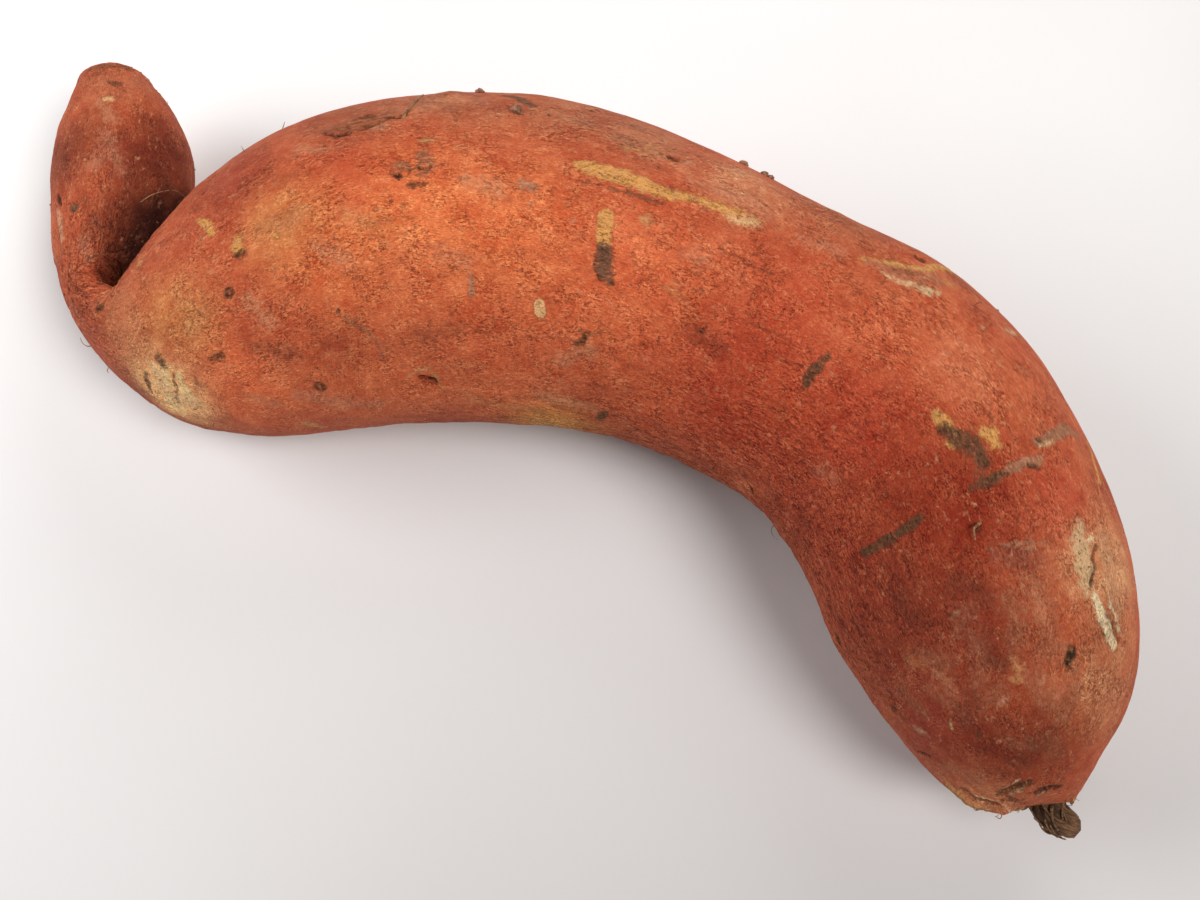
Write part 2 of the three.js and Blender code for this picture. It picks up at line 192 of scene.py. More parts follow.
# --- marks on the skin: name, layer, colour, height of its relief, raggedness of its edge,
# and the middle line with its half width: (x, y, z, half width) ---
# Layer A lies under layer B; R is a ring round its one point.
A, B, R = "A", "B", "R"
MARKS = [
    ("long scar across the top", A, TAN, 0.25, 0.5, [(6.2, 28.9, 59.3, 1), (8, 28.4, 59.2, 1.5),
        (10.4, 27.7, 59.1, 1.7), (13.4, 27.1, 58.8, 1.7), (16.3, 25.9, 58.6, 1.6),
        (18.8, 24.7, 58.4, 1.2), (21.6, 23.7, 58.2, 0.96), (24.6, 23.4, 57.8, 0.99)]),
    ("long scar across the top", A, TAN, 0.15, 0.7, [(26.3, 23.1, 57.6, 0.91),
        (28.6, 22.3, 57.3, 0.99), (30.9, 21.5, 57, 0.91), (33.6, 21, 56.6, 0.75)]),
    ("its mottled end", A, PALE, 0.1, 0.9, [(30.2, 20.2, 57.4, 0.66), (32.8, 19.3, 57, 0.83),
        (35.2, 20, 56.4, 0.83)]),
    ("cross scar", A, TAN, 0.2, 0.3, [(10.7, 19.4, 58.8, 1.3), (10.5, 17.2, 58.4, 1.2),
        (10.4, 15.1, 57.8, 1.2)]),
    ("its dark half", B, GREY, 0.12, 0.6, [(10.4, 13.8, 57.4, 1.4), (10.5, 11.7, 56.5, 1.4),
        (11.2, 9.5, 55.6, 0.74)]),
    ("small tan chip", A, PALE, 0.3, 0.12, [(-0.2, 6.6, 52.7, 0.91), (-0.1, 5.4, 51.8, 0.91)]),
    ("spot", A, OCHRE, 0.05, 0.7, [(17.3, 19.2, 58.5, 0.82), (17.9, 18, 58.3, 0.49)]),
    ("patch", A, OCHRE, 0.03, 1.2, [(14.1, 34.2, 56.8, 1), (16.5, 33.6, 56.6, 1.4),
        (18.6, 34.8, 55.6, 0.85)]),
    ("hole", B, DARK, -0.3, 0.1, [(31, 15.6, 57.2, 0.26)]),
    ("red dimple", B, RUST, -0.6, 0.4, [(21.6, 32.7, 55.8, 0.68), (23, 32.7, 55.4, 0.68)]),
    ("scab by the top edge", B, GREY, 0.12, 0.3, [(-7.4, 47.8, 52, 0.53),
        (-4.8, 45.9, 53.3, 0.87), (-2.1, 43.2, 55, 0.69)]),
    ("line on the top edge", B, UMBER, -0.1, 0.2, [(-8.6, 51.2, 48.4, 0.27),
        (-4.3, 50.9, 48.3, 0.27), (-0, 50.3, 48.3, 0.27)]),
    ("edge spot", B, UMBER, -0.2, 0.3, [(8.5, 44.9, 51.7, 0.7)]),
    ("edge spot pale", A, WHITISH, 0.15, 0.4, [(9.3, 48.8, 47.3, 0.54)]),
    ("smudge", A, GREYTAN, 0.08, 0.7, [(-3.6, 25.4, 60, 0.66), (-1.8, 24.4, 59.8, 0.82)]),
    ("ridge line", A, PINKTAN, 0.15, 0.4, [(42.7, 28.5, 50.1, 0.35), (45.8, 28, 48.7, 0.43),
        (48.8, 26.9, 47.8, 0.52), (52.3, 27.9, 44.4, 0.35)]),
    ("ridge dot", B, UMBER, -0.1, 0.2, [(49, 26.6, 48, 0.35)]),
    ("crack", B, CRACK, -0.12, 0.15, [(29.2, 14.5, 57.2, 0.13), (33.4, 12.3, 56.6, 0.13),
        (38, 10.2, 55.9, 0.11)]),
    ("dented scar", B, DARK, -0.5, 0.7, [(-37.1, 37.4, 55.7, 0.27), (-35.2, 36.4, 56.6, 0.41),
        (-33.2, 37, 56.7, 0.24)]),
    ("dented scar upper", B, UMBER, -0.4, 0.6, [(-32.8, 41.4, 54.7, 0.28),
        (-30.7, 42, 54.7, 0.38), (-28.9, 41.9, 55.1, 0.28)]),
    ("dented scar ground", A, SCABRED, 0.08, 1.2, [(-36.7, 38.9, 55.2, 1.4),
        (-33.2, 39.8, 55.6, 1.6), (-29.4, 40.6, 55.8, 1.7), (-25.4, 41.8, 55.7, 1.4)]),
    ("pit by it", B, DARK, -0.5, 0.3, [(-24.8, 40.1, 56.7, 0.34), (-23.5, 40.8, 56.5, 0.24)]),
    ("torn notch", B, DARK, -0.6, 0.3, [(-25.1, 27.6, 59.5, 0.2), (-23.7, 26.6, 59.6, 0.33),
        (-22.4, 26.9, 59.8, 0.25), (-21.7, 27.9, 59.8, 0.17)]),
    ("torn flap", A, SCABRED, 0.3, 0.7, [(-24, 28.6, 59.5, 0.83), (-22.6, 28.7, 59.6, 0.75)]),
    ("grey bump", A, SCABRED, 0.25, 0.9, [(-19.5, 30.4, 59.7, 1), (-18.8, 28.6, 59.8, 0.99),
        (-19.9, 27.2, 59.9, 0.66)]),
    ("dimple under it", B, UMBER, -0.6, 0.8, [(-21.4, 24.9, 59.6, 0.4),
        (-19.8, 25, 59.7, 0.53)]),
    ("tan bump", A, OCHRE, 0.3, 0.4, [(-20.1, 33.4, 59.2, 0.59), (-18.4, 33.8, 59.2, 0.59)]),
    ("speck", A, PALE, 0.2, 0.1, [(-12, 32.5, 59.6, 0.27)]),
    ("streak by the fold", A, TAN, 0.15, 0.4, [(-59.3, 24, 49.8, 0.43), (-57, 22.1, 51.1, 0.77),
        (-56.1, 20.9, 51.4, 0.68)]),
    ("tan bit", A, TAN, 0.1, 0.6, [(-51.4, 18.5, 53, 0.84), (-51.3, 17, 52.7, 1)]),
    ("brown bit", B, UMBER, -0.2, 0.6, [(-51.3, 15.7, 52.4, 0.67), (-50, 16, 52.9, 0.5)]),
    ("yellow patch", A, OCHRE, 0.02, 1.5, [(-46.8, 19.5, 54.6, 1.5), (-43.9, 19.8, 55.4, 1.8),
        (-40.1, 21.6, 56.6, 1.2)]),
    ("yellow fleck a", A, YELLOW, 0.05, 0.2, [(-45.7, 18.9, 54.8, 0.37)]),
    ("yellow fleck b", A, YELLOW, 0.05, 0.2, [(-44, 17.7, 54.9, 0.33)]),
    ("speck c", B, UMBER, -0.1, 0.1, [(-44.8, 10.4, 51.8, 0.22)]),
    ("tip", B, BROWN, 0, 0.9, [(-93.6, 72.5, 25.8, 0.61), (-89, 73, 26.5, 0.81),
        (-85.6, 73.5, 24.8, 0.61)]),
    ("pale scar on the tail", A, PALE, 0.1, 0.3, [(-88, 63, 29.6, 0.43),
        (-86.4, 63, 29.5, 0.43)]),
    ("smudge on the tail", B, UMBER, 0, 0.8, [(-87.1, 67.7, 28.2, 0.6),
        (-85.8, 67.6, 28, 0.6)]),
    ("speck on the tail", A, PALE, 0.1, 0.1, [(-89.5, 48.7, 30.2, 0.35)]),
    ("dark slot on the tail", B, DARK, -0.4, 0.2, [(-95, 42.8, 26.8, 0.39),
        (-94.2, 40.6, 27.1, 0.46)]),
    ("scar on the tail side", A, PINKTAN, 0.15, 0.3, [(-94.6, 39.2, 26.6, 0.67),
        (-93.6, 35.9, 27, 0.86), (-92.8, 32.7, 27.3, 0.67)]),
    ("spot on the tail", B, GREY, -0.2, 0.5, [(-90.6, 38.7, 28.9, 0.86)]),
    ("dimple under the tail", B, UMBER, -0.4, 0.3, [(-80.4, 13.9, 35.9, 0.47),
        (-78.9, 13.8, 36.9, 0.36)]),
    ("fibres in the fold", A, OCHRE, 0.4, 0.5, [(-71.3, 19.1, 42.4, 0.53),
        (-70.8, 21.6, 42.2, 0.53)]),
    ("streaky pale scar", A, BUFF, 0.08, 0.7, [(-68.7, 2.3, 36.2, 0.88),
        (-68.6, 0.4, 32.5, 1.6), (-66.4, -1.5, 29.6, 2), (-62.6, -2.2, 31.4, 1.4)]),
    ("streaky pale scar core", B, GREYBR, -0.1, 0.3, [(-65.5, 1, 36.5, 0.14),
        (-65.8, -0.6, 33, 0.2), (-66.3, -1.7, 28.7, 0.16)]),
    ("dark streak", B, GREYBR, -0.1, 0.4, [(-71.3, 2.3, 33.5, 0.36), (-71.5, 1.4, 31.1, 0.57),
        (-71.5, 0.7, 28.5, 0.36)]),
    ("brown spot", B, GREYBR, -0.05, 0.7, [(-67.5, 3, 38.1, 0.7), (-67.2, 2.1, 37.1, 0.53)]),
    ("grey patch", B, BROWN, 0, 1.2, [(-60.9, -0.6, 36.7, 0.7), (-59.6, -1.4, 35.8, 0.7)]),
    ("frayed dimple", B, UMBER, -0.4, 0.6, [(-56.9, 1.4, 41.6, 0.6), (-55.4, 1.5, 42.2, 0.68)]),
    ("ring a", R, UMBER, 0.25, 0.1, [(-52.6, 10.1, 49.8, 0.67)]),
    ("ring b", R, UMBER, 0.2, 0.1, [(-38.7, -2.2, 38.7, 0.78)]),
    ("belly streak a", A, OCHRE, 0.05, 0.6, [(-43.4, -4.9, 27.5, 0.72),
        (-40.5, -4.4, 24.2, 0.73)]),
    ("scratch start", B, DARK, -0.3, 0.2, [(-33.8, 6.5, 50.6, 0.33)]),
    ("scratch", A, PALE_RED, 0.18, 0.9, [(-33.1, 5.8, 50.1, 0.2), (-32, 5, 49.5, 0.25),
        (-29.3, 3.8, 48.3, 0.27), (-27.8, 2.5, 47, 0.22), (-26.9, 0.7, 44.4, 0.17)]),
    ("arch", A, OCHRE, 0.35, 0.3, [(-23.3, -1.6, 40.3, 0.31), (-21.7, -0.9, 41.8, 0.41),
        (-20, -0.7, 42.3, 0.41), (-18.2, -1.5, 40.9, 0.38), (-17.5, -2.7, 37.7, 0.31)]),
    ("dimple under the arch", B, RUST, -0.9, 0.5, [(-20.6, -1.8, 40, 0.69),
        (-19.1, -2.1, 39.4, 0.86)]),
    ("pale streak", A, GREYTAN, 0.08, 0.5, [(-11.5, 11.1, 55.3, 0.33), (-11.5, 9.4, 54.3, 0.49),
        (-11.6, 8.1, 53.3, 0.33)]),
    ("dark scab", B, UMBER, 0.25, 0.5, [(5.9, 1.1, 48.5, 0.58), (6.9, 1.6, 49.3, 0.75),
        (7.7, 2.4, 50.3, 0.5)]),
    ("spiky slit", B, DARK, -0.5, 0.35, [(26.4, 2.5, 52.9, 0.25), (26.4, 1.2, 52.1, 0.43),
        (26.8, -0, 51.3, 0.33), (27, -1.1, 50.5, 0.16)]),
    ("spiky slit b", B, UMBER, -0.3, 0.3, [(25.8, 2, 52.4, 0.23), (26.1, 0, 51.2, 0.2)]),
    ("slanted scab", B, GREYBR, 0.2, 0.35, [(43.1, -6.8, 50.6, 0.49), (44, -5.5, 51.5, 0.73),
        (45.3, -4.2, 52.3, 0.81), (46.7, -2.8, 53, 0.49)]),
    ("slanted scab dark", B, DARK, 0.1, 0.3, [(43.4, -6.6, 50.8, 0.39),
        (44.3, -6.1, 51.3, 0.33)]),
    ("slit on the inner side", B, DARK, -0.4, 0.2, [(35.9, -17.4, 29.2, 0.21),
        (36.5, -18.1, 27.9, 0.32)]),
    ("edge patch a", A, OCHRE, 0.05, 0.9, [(-4.3, -4.6, 29.3, 0.72), (0.7, -5, 27.3, 0.72),
        (7, -5.2, 23.7, 0.73)]),
    ("crack b", B, CRACK, -0.12, 0.12, [(33.5, 2.7, 53.8, 0.11), (36.8, 1.4, 53.6, 0.11),
        (40.6, -0.2, 53.3, 0.098)]),
    ("crack c", B, CRACK, -0.12, 0.12, [(36.8, -9, 46.8, 0.13), (38.7, -9.9, 46.9, 0.15),
        (40.9, -10.6, 47.3, 0.12)]),
    ("crack d", B, CRACK, -0.12, 0.12, [(37.5, -2.4, 51.8, 0.098), (40.4, -3.6, 51.7, 0.11),
        (43.2, -4.2, 51.9, 0.098)]),
    ("scar by the outer edge", A, TAN, 0.16, 0.5, [(53.5, 14.9, 52.8, 0.42),
        (56.7, 14.9, 52, 0.59), (60.3, 14.8, 50.8, 0.67), (64.7, 14.2, 49.5, 0.85),
        (70.9, 17.9, 43.2, 0.87)]),
    ("its whitish border", A, WHITISH, 0.12, 0.9, [(56.4, 13.4, 52.5, 0.58),
        (58.9, 12, 52.2, 0.75), (61.4, 10.9, 51.8, 0.83), (63.9, 9.8, 51.4, 0.83),
        (66.2, 9.4, 50.7, 0.59)]),
    ("brown dimple", B, RUST, -0.5, 0.4, [(63.3, 17.6, 48.1, 0.51), (64.8, 16.7, 48, 0.51)]),
    ("pale spot a", A, PINKTAN, 0.05, 0.8, [(73, 3.3, 50, 0.66)]),
    ("pale spot b", A, WHITISH, 0.05, 0.7, [(78.9, 5.1, 45.8, 0.68), (80.6, 5.3, 44.3, 0.6)]),
    ("ochre scab", A, TAN, 0.22, 0.45, [(63.4, -13, 53.4, 0.88), (64.1, -14.2, 53.3, 1.2),
        (65.2, -15.6, 53.3, 0.87), (66, -16.4, 53.3, 0.71)]),
    ("ochre scab b", A, TAN, 0.15, 0.5, [(64.7, -18.1, 53.2, 0.55), (66.1, -18.6, 53.2, 0.47)]),
    ("ochre scab c", A, TAN, 0.1, 0.7, [(70.3, -15.9, 53.3, 0.95), (71.8, -16.9, 53.3, 1.1),
        (72.6, -18.6, 53.2, 0.63)]),
    ("dark scab by it", B, GREYBR, -0.1, 0.6, [(64.1, -15.7, 53.3, 0.79),
        (65.9, -16.8, 53.3, 1.4), (67.6, -17.8, 53.4, 1.7), (69.1, -19.3, 53.4, 1.8),
        (70.1, -20.8, 53.3, 1.3)]),
    ("dark scab core", B, DARK, -0.15, 0.6, [(65.3, -16.4, 53.3, 0.29),
        (66.7, -17.1, 53.3, 0.32)]),
    ("line scar", B, GREYBR, 0.08, 0.6, [(68.2, -25.1, 52.9, 0.7), (70.4, -24.4, 53.1, 0.94),
        (72.7, -23.3, 53.2, 0.63)]),
    ("line scar", A, BROWNTAN, 0.12, 0.5, [(71.7, -23.9, 53.3, 0.7), (74.4, -22.7, 53.1, 0.86),
        (76.8, -21.4, 52.7, 0.87), (79.8, -20.1, 51.9, 0.55)]),
    ("line scar dot a", B, DARK, -0.35, 0.4, [(70.5, -25.2, 53.1, 0.34)]),
    ("line scar dot b", B, DARK, -0.5, 0.4, [(72.3, -23.1, 53.2, 0.38),
        (73.6, -23.6, 53.1, 0.47)]),
    ("line scar dot c", B, DARK, -0.5, 0.3, [(77.3, -21.9, 52.7, 0.28),
        (78.5, -21.6, 52.4, 0.41)]),
    ("line scar far part", A, BROWNTAN, 0.12, 0.6, [(79.5, -17.7, 51.7, 0.88),
        (82, -16, 50.5, 1.1), (85.8, -13.7, 47.6, 1.1), (88.7, -13.5, 45.1, 0.83)]),
    ("line scar far part", A, WHITISH, 0.1, 0.5, [(79.9, -18.2, 51.6, 0.45),
        (82.3, -16.5, 50.4, 0.51)]),
    ("line scar far dots", B, UMBER, -0.3, 0.3, [(79.6, -17.1, 51.6, 0.35)]),
    ("line scar far dots b", B, UMBER, -0.3, 0.3, [(85.5, -13.3, 47.7, 0.2),
        (86.4, -13.4, 47.1, 0.16)]),
    ("tan edge line", A, TAN, 0.1, 0.4, [(91.7, -13.1, 41.3, 0.34), (91.5, -17, 43.3, 0.53),
        (91.4, -21.8, 45, 0.59)]),
    ("bar scar", B, GREYBR, 0.25, 0.25, [(52.4, -33, 42.7, 0.73), (54.1, -32.5, 44.7, 0.72),
        (56.1, -31.9, 46.5, 0.76), (57.7, -30.9, 48.1, 0.76), (59.1, -30, 49.1, 0.71),
        (60.3, -29.4, 49.9, 0.55)]),
    ("bar scar end", B, DARK, 0.05, 0.25, [(52.7, -32.9, 43, 0.48), (53.5, -32.7, 44, 0.32)]),
    ("rootlet dimple", B, DARK, -0.5, 0.3, [(68.3, -31.9, 52, 0.62)]),
    ("mauve patch upper edge", A, GREYTAN, 0.08, 0.6, [(69.7, -35, 51.9, 0.39),
        (72.1, -34.7, 52.3, 0.39), (74.8, -34.4, 52.5, 0.31), (78.5, -34.1, 52.3, 0.31)]),
    ("whitish scar", A, WHITISH, 0.12, 0.85, [(84.8, -31.6, 50.6, 1.3),
        (84.7, -34.5, 50.6, 1.7), (85.1, -37.6, 50.1, 1.7), (85.6, -40.7, 49.6, 1.1)]),
    ("whitish scar right", A, PALE_TAN, 0.04, 1.2, [(89.4, -32.5, 48, 1.4),
        (90.1, -35.9, 47.4, 1.6), (90, -39.6, 47.1, 1.4), (90.7, -43.3, 46.1, 0.94)]),
    ("bright scar", A, CREAM, 0.25, 0.35, [(86.6, -41.5, 49, 0.78), (87.5, -44.1, 48.1, 1),
        (88.3, -46.4, 47.1, 1.1), (89.5, -49, 45.5, 0.78)]),
    ("crack by it", B, UMBER, -0.3, 0.45, [(87.9, -33.6, 49, 0.17), (86.8, -36.2, 49.5, 0.22),
        (86.7, -38.5, 49.3, 0.22), (86.1, -40.9, 49.3, 0.15)]),
    ("black spot", B, OLIVE, 0.2, 0.45, [(82.1, -50.1, 48.6, 0.69), (81.6, -51.4, 48.2, 0.84),
        (81.1, -52.6, 47.8, 0.61)]),
    ("tan mottle a", A, OCHRE, 0.05, 1.1, [(73.9, -52.7, 47.7, 0.92),
        (73.6, -54.4, 46.9, 0.92)]),
    ("tan mottle b", A, PINKTAN, 0.05, 1.1, [(71.6, -56.7, 44.9, 0.77),
        (70.9, -57.6, 44, 0.62)]),
    ("light scab", A, GREYTAN, 0.25, 0.5, [(64.8, -44.3, 47.7, 0.47),
        (65.9, -44.8, 48.2, 0.54)]),
    ("light scab dark", B, UMBER, -0.15, 0.3, [(64.2, -44.6, 47.4, 0.31)]),
    ("pale tick", A, PALE, 0.15, 0.15, [(65.2, -59.1, 38.4, 0.19), (65.5, -60.4, 37.3, 0.29)]),
    ("dot", B, UMBER, -0.3, 0.3, [(69, -61.7, 39.2, 0.41)]),
    ("edge bits", A, GREYTAN, 0.15, 0.6, [(61.4, -59.5, 31.3, 0.49), (62.5, -60.4, 32, 0.49)]),
    ("dark crack", B, DARK, -0.4, 0.2, [(62.8, -62.5, 24.6, 0.25), (63.6, -63.3, 26.7, 0.3),
        (64.3, -63.9, 27.6, 0.2)]),
    ("callus", A, OCHRE, 0.5, 0.6, [(67.9, -67.7, 24, 0.83), (69.9, -69.2, 23.2, 1.5),
        (72.6, -70.6, 22.8, 1.8), (76.6, -71.2, 20.1, 1.8), (80.9, -71.1, 18.1, 1.4)]),
    ("callus brown", B, BROWN, -0.35, 0.7, [(69.9, -68.8, 26.1, 0.39),
        (72.2, -70.1, 25.7, 0.49), (74.6, -70.7, 25.9, 0.49)]),
    ("callus brown", B, UMBER, -0.3, 0.6, [(74.3, -69.7, 29.8, 0.32),
        (77.4, -70.5, 28.7, 0.39)]),
    ("callus brown", B, UMBER, -0.3, 0.6, [(74.7, -71.3, 18.3, 0.27),
        (79.1, -71.2, 14.5, 0.34)]),
    ("fibrous patch a", B, UMBER, -0.35, 0.7, [(74.6, -69.3, 31, 0.42), (76.3, -68.7, 33, 0.64),
        (77.9, -68.2, 34.3, 0.48)]),
    ("fibrous patch b", B, DARK, -0.4, 0.7, [(79.3, -69.7, 31.5, 0.48),
        (80.9, -69.1, 32.4, 0.72), (82.9, -68.7, 32.6, 0.64)]),
    ("its lower edge", B, BROWN, -0.1, 0.4, [(6.9, 25.8, 59.4, 0.2), (11.4, 24.4, 59.1, 0.23),
        (16.3, 23.2, 58.7, 0.26), (19.9, 22.1, 58.4, 0.2)]),
    ("dark line in it", B, DARK, -0.15, 0.35, [(9.4, 14, 57.5, 0.29), (9.2, 12.2, 56.7, 0.39),
        (9.9, 10.1, 55.8, 0.33)]),
    ("second line in it", B, DARK, -0.15, 0.4, [(10.8, 13.1, 57.1, 0.13), (11, 11, 56.2, 0.15),
        (11.7, 9.1, 55.4, 0.36)]),
    ("pink by it", A, PINKTAN, 0.1, 0.8, [(25, 31.8, 55.3, 0.68)]),
    ("dented scar, middle", B, DARK, -0.5, 0.6, [(-31.2, 37.8, 56.8, 0.37),
        (-29.5, 38.4, 56.8, 0.41), (-27.8, 39.2, 56.7, 0.27)]),
    ("dented scar, pits", B, DARK, -0.5, 0.5, [(-27.2, 39.7, 56.6, 0.31),
        (-25.6, 40.4, 56.5, 0.31)]),
    ("dented scar, pale", A, PINKTAN, 0.3, 0.8, [(-29, 37.5, 57.3, 0.68),
        (-27, 37.8, 57.4, 0.68)]),
    ("line under the bump", B, DARK, -0.3, 0.4, [(-20.6, 28.4, 59.8, 0.22),
        (-19.4, 27.6, 59.9, 0.25), (-18.4, 28, 59.9, 0.22)]),
    ("pale strip a", A, STRAW, 0.15, 0.35, [(-67.1, 2.2, 37.3, 0.63), (-67.3, 0.3, 33.7, 0.89),
        (-68, -1.1, 28.2, 0.99)]),
    ("pale strip b", A, STRAW, 0.12, 0.45, [(-64.3, 0.6, 36.6, 0.6), (-63.8, -1.1, 33.7, 0.88),
        (-63.2, -2.3, 30.7, 0.89)]),
    ("cream bit a", A, CREAM, 0.15, 0.7, [(86, -33.2, 50, 0.39), (87.3, -32.6, 49.4, 0.47)]),
    ("cream bit b", A, CREAM, 0.15, 0.7, [(85.3, -36.3, 50.2, 0.31), (85.4, -38.5, 49.9, 0.37),
        (85.8, -40.5, 49.5, 0.31)]),
    ("bright scar, second line", A, CREAM, 0.2, 0.35, [(88.9, -42.1, 47.6, 0.28),
        (89.9, -44.7, 46.4, 0.34), (90.9, -46.6, 45.2, 0.28)]),
    ("brown point by it", B, RUST, -0.15, 0.4, [(90.4, -47.9, 45.2, 0.28)]),
    ("dark scab core b", B, DARK, -0.1, 0.6, [(68.5, -17.8, 53.4, 0.35),
        (69.5, -18.7, 53.4, 0.32)]),
    ("dark scab core c", B, DARK, -0.1, 0.5, [(69.5, -20.5, 53.3, 0.41)]),
    ("scab, tail end", B, GREY, 0, 1.2, [(69.5, -21.3, 53.3, 0.47), (68.9, -22.9, 53.1, 0.47)]),
    ("line scar, paler part", A, GREYTAN, 0.1, 0.5, [(75.1, -21.9, 53.1, 0.28),
        (78.3, -20.4, 52.3, 0.32)]),
    ("scar by the outer edge, core", B, BROWN, -0.1, 1, [(59.2, 13.8, 51.6, 0.27),
        (62.7, 13.2, 50.6, 0.34)]),
    ("ochre beside it", A, OCHRE, 0.03, 1.3, [(66.3, 12.5, 49.5, 1.2), (69.2, 12.7, 48, 1)]),
    ("strand a", A, CREAM, 0.3, 0.25, [(74.4, -69.2, 31.2, 0.13), (75.1, -68.6, 32.9, 0.14),
        (76, -67.9, 34.5, 0.11)]),
    ("strand b", A, WHITISH, 0.3, 0.25, [(75.6, -69.6, 30.8, 0.11), (76.8, -69.1, 32.3, 0.13),
        (77.7, -68.4, 34, 0.095)]),
    ("strand c", A, CREAM, 0.3, 0.25, [(79.8, -69.9, 30.8, 0.13), (80.8, -69.5, 31.6, 0.14),
        (81.8, -68.8, 32.7, 0.11)]),
    ("strand d", A, WHITISH, 0.25, 0.25, [(81.8, -69.9, 30.4, 0.13),
        (83.2, -69.7, 30.2, 0.13)]),
    ("callus crack", B, DARK, -0.3, 0.5, [(75.2, -70.4, 27.9, 0.26), (77.4, -70.7, 27.7, 0.33),
        (79.2, -71, 27, 0.23)]),
    ("tan mottle c", A, PINKTAN, 0.03, 1.5, [(78.7, -57.3, 45.6, 0.77),
        (80.5, -55.9, 46.3, 0.92)]),
    ("belly scuff a", A, PINKTAN, 0.02, 1.5, [(-16.5, 13.6, 56.6, 1.1),
        (-11.6, 12.5, 56.1, 0.98)]),
    ("belly scuff b", A, OCHRE, 0.02, 1.5, [(-32.3, 20.3, 57.9, 1.3), (-27.8, 18.9, 58, 1.2)]),
    ("belly scuff c", A, OCHRE, 0.02, 1.5, [(-60.3, 5.8, 44.4, 1.5), (-58.1, 8, 46.8, 1.4),
        (-62.3, 10.1, 46.3, 1)]),
    ("belly scuff d", A, PINKTAN, 0.02, 1.5, [(-42.5, -3.1, 36.7, 1.4),
        (-35.9, -3.5, 34.6, 1.6), (-29.1, -3.5, 33.2, 1.2)]),
    ("belly scuff e", A, OCHRE, 0.02, 1.5, [(-13, -3.5, 35.6, 1), (-7.9, -4.1, 34.1, 1.2),
        (-0.9, -4.9, 33.3, 1.1)]),
    ("belly scuff f", A, GREYTAN, 0.02, 1.5, [(-51.5, -3.1, 35.5, 1),
        (-47.3, -3.9, 34.5, 1.2)]),
    ("rim scuff a", A, PINKTAN, 0.03, 1.5, [(24.8, 27.5, 57, 1), (31.5, 25.1, 56.2, 1.2),
        (38.1, 21.8, 55.3, 1)]),
    ("rim scuff b", A, GREYTAN, 0.03, 1.5, [(2.8, 40.4, 55.9, 1), (8, 39.4, 55.6, 1)]),
    ("rim scuff c", A, PINKTAN, 0.03, 1.5, [(42.9, 17.3, 55, 1), (49.7, 15.8, 53.5, 1)]),
    ("callus strands", A, PALE, 0.4, 0.25, [(70.4, -69.5, 21.4, 0.17), (73.2, -70.9, 21.7, 0.2),
        (78.3, -71.2, 15.4, 0.17)]),
    ("callus strands", A, CREAM, 0.4, 0.2, [(75.1, -70.7, 26.8, 0.15),
        (78.4, -71.2, 23.2, 0.17), (82.8, -71, 15.4, 0.14)]),
    ("callus strands", A, PALE, 0.4, 0.25, [(72.7, -69.6, 28.6, 0.15),
        (74.8, -69.2, 31.4, 0.16), (77.2, -69.4, 31.9, 0.13)]),
    ("callus strands", A, CREAM, 0.4, 0.2, [(70.7, -69.2, 26.5, 0.11), (72.8, -70, 27, 0.13),
        (74.8, -70.4, 27.7, 0.11)]),
    ("dented scar, brown", B, SCABRED, 0.05, 1, [(-36.3, 38.8, 55.3, 0.86),
        (-33, 38.7, 56.1, 0.94), (-29.3, 39.7, 56.3, 0.94), (-26.1, 41.5, 55.8, 0.69)]),
    ("tan ground by the outer edge", A, BROWNTAN, 0.05, 1.3, [(54.5, 14.4, 52.7, 0.84),
        (58.6, 13.3, 51.9, 1.5), (62.6, 12.7, 50.9, 1.7), (66.8, 12.4, 49.4, 1.5)]),
    ("bright scar, middle", B, BROWN, -0.1, 0.5, [(87.9, -43.5, 48, 0.16),
        (89, -45.4, 46.9, 0.22), (90, -47.4, 45.7, 0.16)]),
]
